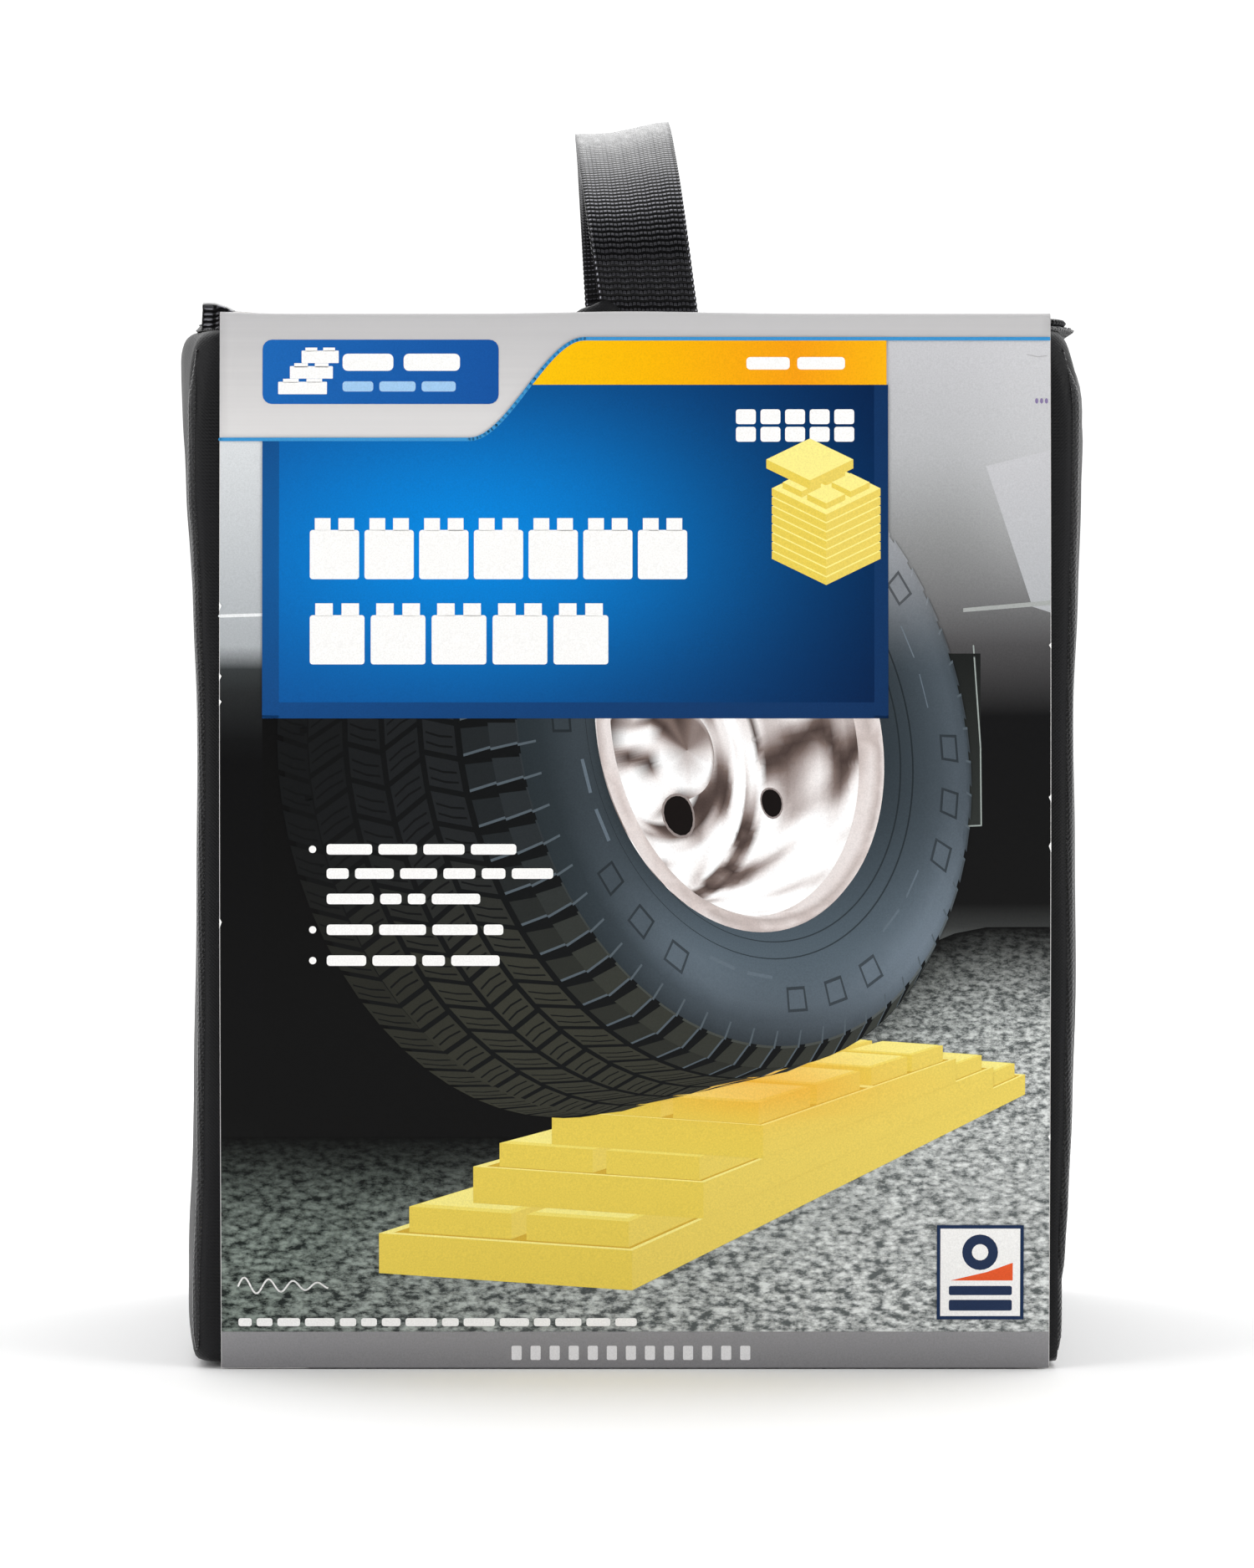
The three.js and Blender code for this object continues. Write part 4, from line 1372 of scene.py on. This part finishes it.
def small_print(sheet):
    """The list, the squiggle and its line, the foot strip with its blocks, three small purple-grey spots,
    and a darker line of painted shade along a crease in the header.
    """
    rows = [(133.9, -27), (127.7, -21), (121.2, -39), (113.3, -30), (105.4, -33.6)]
    for row, (z, end) in enumerate(rows):
        sheet.bars(-79, end, z, 2.7, PAPER, SIGN_LIFT, 20 + row)
        if row in (0, 3, 4):
            sheet.shape(disc(-82.6, z, 0.95, 12), PAPER, SIGN_LIFT)
    wave = [(-102 + 0.55 * i, 21.6 + 2.3 * math.sin(i * 0.55) * (1 - i / 60)) for i in range(43)]
    sheet.stroke(wave, 0.45, PAPER, 0.3)
    sheet.bars(-102, 0.4, 12.2, 2.1, PAPER, 0.3, 31)
    sheet.columns(steps(-EDGE, EDGE, 6), 0.4, FOOT_BAND, upward((0, "7b7a7c"), (9, "8f8e90")), 0.3)
    for i in range(13):
        sheet.box(-31.8 + 4.9 * i, 2.4, -29.2 + 4.9 * i, 6.1, "dddcdd", 0.32, 0.4)
    for k in range(3):
        sheet.shape(disc(102.9 + 1.25 * k, 248.7, 0.42, 10, 1.7), "85779e", 0.05)
    # Painted shade: a darker grey line where the header is creased.
    sheet.stroke([(100.5, 260.6), (103.2, 260.0), (105.6, 260.3)], 0.18, "a9a8aa", 0.05)


def badge(sheet):
    """A framed sign of a wheel on a ramp."""
    ink, ground = "22314f", "f1f0ee"
    sheet.box(77.5, 12.9, 99.8, 37.3, "1c2f4f", 0.3)
    sheet.box(78.4, 13.8, 98.9, 36.4, ground, 0.31)
    sheet.shape([(81, 23), (97, 23), (97, 27.6), (90.4, 25.2)], "e2592c", 0.32)
    sheet.shape(disc(88.6, 30.3, 4.6, 24), ink, 0.33)
    sheet.shape(disc(88.6, 30.3, 2.1, 18), ground, 0.34)
    sheet.box(80.6, 19.2, 96.8, 21.6, ink, 0.32, 0.5)
    sheet.box(80.6, 15.2, 96.8, 18, ink, 0.32, 0.5)


def nicks(sheet):
    """Worn white spots along the card's cut edges."""
    chance = random.Random(9)
    for side, heights in ((-1, (196, 178, 171.5, 115)), (1, (186, 147, 134.5, 60))):
        for z in heights:
            tall = chance.uniform(0.8, 1.5)
            edge = side * CARD_HALF
            nick = [(edge, z - tall), (edge, z + tall), (edge - side * 0.6, z + tall * 0.2)]
            sheet.shape(nick, "fbfaf8", SIGN_LIFT)


def ramp_light(base, x, z):
    """The ramp glows orange where the tyre presses it, and is dim in the tyre's shadow."""
    glow = 0.75 * math.exp(-(((x - 32) / 26) ** 2 + ((z - 74) / 9) ** 2))
    dim = 0.55 * math.exp(-(((x + 10) / 26) ** 2 + ((z - 80) / 8) ** 2))
    return mixed(mixed(base, srgb("7d7038"), dim), srgb("eda528"), glow)


def front_picture():
    sheet = Print(lambda x, z: (Vector((x, front_y(z), z)), front_normal(z)))
    backdrop(sheet)
    printed_ramp(sheet, (-0.8, 20.4), 1.0, RAMP_LIFT, ramp_light)
    printed_wheel(sheet, WHEEL_LIFT)
    panel(sheet)
    panel_signs(sheet)
    header(sheet)
    small_print(sheet)
    badge(sheet)
    nicks(sheet)
    return sheet.made("front_print", "sleeve_front")


def back_picture():
    """A plain back: header, panel of signs, three ramps of growing height and small print."""
    sheet = Print(lambda x, z: (Vector((-x, back_y(z), z)), Vector((0, 1, 0))))
    sheet.columns(steps(-EDGE, EDGE, 6), 0.6, FOOT_BAND, "858486", 0.05)
    grey = upward((10, "a9adb1"), (230, "babdc0"))
    sheet.columns(steps(-EDGE, EDGE, 10), FOOT_BAND, 232, grey, 0.02)
    sheet.columns(steps(-96, 96, 12), 196, 226, panel_blue, 0.05)
    sheet.stroke([(-EDGE, 232), (EDGE, 232)], 0.9, "3a8fc8", 0.06)
    sheet.bars(-88, 60, 216, 7.5, PAPER, 0.07, 41)
    sheet.bars(-88, 20, 204, 4.4, PAPER, 0.07, 42)
    for k in range(3):
        x = -96 + 66 * k
        sheet.box(x, 118, x + 60, 186, "f7f7f6", 0.05, 3)
        view = ramp_view((x + 30, 134), 0.42)
        for level in range(k + 1):
            for i in (1, 0):
                rise = STEP * (16 * level + 5 * (2 - i))
                printed_block(sheet, view, (0, i, level), 0.07 + rise)
        sheet.bars(x + 5, x + 55, 126, 2.6, "5b5f63", 0.07, 50 + k)
    for row in range(9):
        sheet.bars(-94, 90 - 23 * (row % 3), 106 - 8.2 * row, 2.6, "4c5054", 0.05, 60 + row)
    return sheet.made("back_print", "root")


def card_front():
    """The front panel, with the curl at its foot and half of its top crease."""
    xs = sorted(set(steps(-CARD_HALF, CARD_HALF, 44) + [-84.8, -83.2, -82.0, -80.8]))
    rows = []
    for i in range(5):
        angle = math.pi / 2 * i / 4
        row = []
        for x in xs:
            lip = 1 - smoothstep(x, -84.8, -80.8)
            curl = 2.2 * (1 - math.sin(angle)) * (1 - 0.8 * lip)
            row.append((x, front_y(2.4) + curl, 0.62 - 0.5 * lip + 1.9 * (1 - math.cos(angle))))
        rows.append(row)
    heights = [BAND * k for k in range(1, int((CARD_TOP - 3) / BAND) + 1)] + [CARD_TOP - CREASE]
    rows += [[(x, front_y(z), z) for x in xs] for z in heights]
    edge = front_y(CARD_TOP - CREASE)
    for i in range(1, 6):
        angle = math.pi / 2 * i / 5
        z = CARD_TOP - CREASE + CREASE * math.sin(angle)
        rows.append([(x, edge + CREASE * (1 - math.cos(angle)), z + top_rise(x, FRONT_Y)) for x in xs])
    rows.append([(x, edge + CREASE + 2.4, CARD_TOP + top_rise(x, FRONT_Y)) for x in xs])
    return card_piece("sleeve_front", [p for row in rows for p in row], grid_faces(len(rows), len(xs)))


def top_rise(x, y):
    """The sleeve's top is pushed up by the handle's roots and by the buckled zipper."""
    over_zip = 1.6 * math.exp(-(((x + CARD_HALF) / 9) ** 2 + ((y + ZIP_LINE - 11) / 16) ** 2))
    over_root = 0.9 * math.exp(-((x / 24) ** 2 + ((abs(y) - ROOT_Y) / 22) ** 2))
    return over_zip + over_root + 0.2 * ripple(x, y, 0, 45, 4.4) * smoothstep(BACK_Y - abs(y), 0, 10)


def card_top_and_back():
    """The top with slots for the strap, the back crease, the back and its curl at the foot."""
    slots = [(-ROOT_Y - SLOT_REACH, -ROOT_Y + SLOT_REACH), (ROOT_Y - SLOT_REACH, ROOT_Y + SLOT_REACH)]
    start = front_y(CARD_TOP - CREASE) + CREASE + 2.5
    back = back_y(CARD_TOP - CREASE)
    ys = sorted(set(steps(start, back - CREASE, 44) + [y for slot in slots for y in slot]))
    xs = sorted(set(steps(-CARD_HALF, CARD_HALF, 34) + [-SLOT_HALF, SLOT_HALF]))
    rows = []
    for y in ys:
        fade = smoothstep(back - y, 0, 12)
        rows.append([(x, y, CARD_TOP + top_rise(x, y) * fade) for x in xs])
    cuts = set()
    for i, (a, b) in enumerate(zip(ys, ys[1:])):
        for j, (c, d) in enumerate(zip(xs, xs[1:])):
            if abs(c + d) / 2 < SLOT_HALF and any(low < (a + b) / 2 < high for low, high in slots):
                cuts.add(i * (len(xs) - 1) + j)
    for i in range(1, 6):
        angle = math.pi / 2 * i / 5
        z = CARD_TOP - CREASE + CREASE * math.cos(angle)
        rows.append([(x, back - CREASE + CREASE * math.sin(angle), z) for x in xs])
    heights = [BAND * k for k in range(int((CARD_TOP - 3) / BAND), 0, -1)]
    rows += [[(x, back_y(z), z) for x in xs] for z in heights]
    for i in range(5):
        angle = math.pi / 2 * i / 4
        y, z = back_y(2) - CREASE * (1 - math.cos(angle)), CREASE * (1 - math.sin(angle)) + 0.05
        rows.append([(x, y, z) for x in xs])
    faces = [f for i, f in enumerate(grid_faces(len(rows), len(xs))) if i not in cuts]
    return card_piece("sleeve_top_and_back", [p for row in rows for p in row], faces)


def card_bottom():
    xs = steps(-CARD_HALF, CARD_HALF, 12)
    ys = steps(FRONT_Y + 3.2, BACK_Y - 2, 12)
    points = [(x, y, 0.58) for y in ys for x in xs]
    obj = piece("sleeve_bottom", points, grid_faces(len(ys), len(xs)), [BOARD])
    thicken(obj, CARD, -1)
    return obj


front_card = card_front()
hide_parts("sleeve_front_panel")
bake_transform(front_card)
top_card = card_top_and_back()
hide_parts("sleeve_top_panel", "sleeve_back_panel")
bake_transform(top_card)
bottom_card = card_bottom()
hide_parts("sleeve_bottom_panel")
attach(bottom_card, "root")
front_picture()
back_picture()


# CAD pieces that keep their own shape: a material of nodes, and a softened edge on the zipper's metal
# parts


def finish_cad(names, look, edge):
    for name in names:
        obj = frame["nodes"][name]
        obj.data.materials.clear()
        obj.data.materials.append(look)
        if edge:
            modify(obj, "BEVEL", width=edge * MM, segments=2, limit_method="ANGLE",
                   angle_limit=math.radians(35))


finish_cad(BLOCKS, PLASTIC, 0)
finish_cad(["zipper_bottom_stop", "zipper_top_stop", "zipper_slider"], ZIP_METAL, 0.12)
finish_cad(["zipper_pull_tab"], ZIP_METAL, 0.15)
finish_cad(["sleeve_glue_flap"], BOARD, 0)


# Camera, floor and lights

CAMERA_DISTANCE = 1.8  # metres from the sleeve's front
PICTURE_HEIGHT = 0.4024  # metres of the front plane that the picture's height takes in
CAMERA_X = -0.0021
SENSOR = 36


def make_camera():
    data = bpy.data.cameras.new("camera")
    data.sensor_width = SENSOR
    data.lens = SENSOR * CAMERA_DISTANCE / PICTURE_HEIGHT
    camera = bpy.data.objects.new("camera", data)
    bpy.context.scene.collection.objects.link(camera)
    aim = Vector((CAMERA_X, FRONT_Y * MM, 0.1505))
    camera.location = Vector((CAMERA_X, FRONT_Y * MM - CAMERA_DISTANCE, 0.190))
    camera.rotation_euler = (aim - camera.location).to_track_quat("-Z", "Y").to_euler()
    bpy.context.scene.camera = camera


def make_lamp(name, place, aim, size, watts):
    data = bpy.data.lights.new(name, "AREA")
    data.shape = "RECTANGLE"
    data.size, data.size_y = size
    data.energy = watts
    lamp = bpy.data.objects.new(name, data)
    lamp.location = place
    lamp.rotation_euler = (Vector(aim) - Vector(place)).to_track_quat("-Z", "Y").to_euler()
    bpy.context.scene.collection.objects.link(lamp)


def make_stage():
    look = Look("floor", srgb("fafafa"), 0.6)
    look.set("Specular IOR Level", 0.1)
    speckle = look.noise(look.place(), 3, 2)
    look.set("Base Color", look.mix(speckle, srgb("f8f8f8"), srgb("fbfbfb")))
    reach, behind = 9000, 1700
    corners = [(-reach, -reach, 0), (reach, -reach, 0), (reach, behind, 0), (-reach, behind, 0)]
    floor = piece("floor", corners, [(0, 1, 2, 3)], [look.mat])
    make_world()
    bpy.context.scene.view_settings.view_transform = "Standard"
    make_lamp("top_box", (0, 1.3, 1.65), (0, 0.3, 0), (3.6, 2.6), 44)
    make_lamp("left_box", (-1.25, -1.2, 0.7), (0, 0, 0.15), (0.8, 1.2), 9)
    make_lamp("right_box", (1.25, -1.2, 0.7), (0, 0, 0.15), (0.8, 1.2), 9)


def make_world():
    """A white studio, dimmer behind the camera so that the glossy card doesn't mirror it."""
    world = bpy.data.worlds.new("studio")
    world.use_nodes = True
    tree = world.node_tree
    where = tree.nodes.new("ShaderNodeTexCoord")
    parts = tree.nodes.new("ShaderNodeSeparateXYZ")
    fade = tree.nodes.new("ShaderNodeMapRange")
    tree.links.new(where.outputs["Generated"], parts.inputs[0])
    tree.links.new(parts.outputs["Y"], fade.inputs["Value"])
    for socket, value in (("From Min", -0.7), ("From Max", 0.1), ("To Min", 0.22), ("To Max", 1.12)):
        fade.inputs[socket].default_value = value
    background = tree.nodes["Background"]
    background.inputs["Color"].default_value = (1, 1, 1, 1)
    tree.links.new(fade.outputs["Result"], background.inputs["Strength"])
    bpy.context.scene.world = world


make_camera()
make_stage()
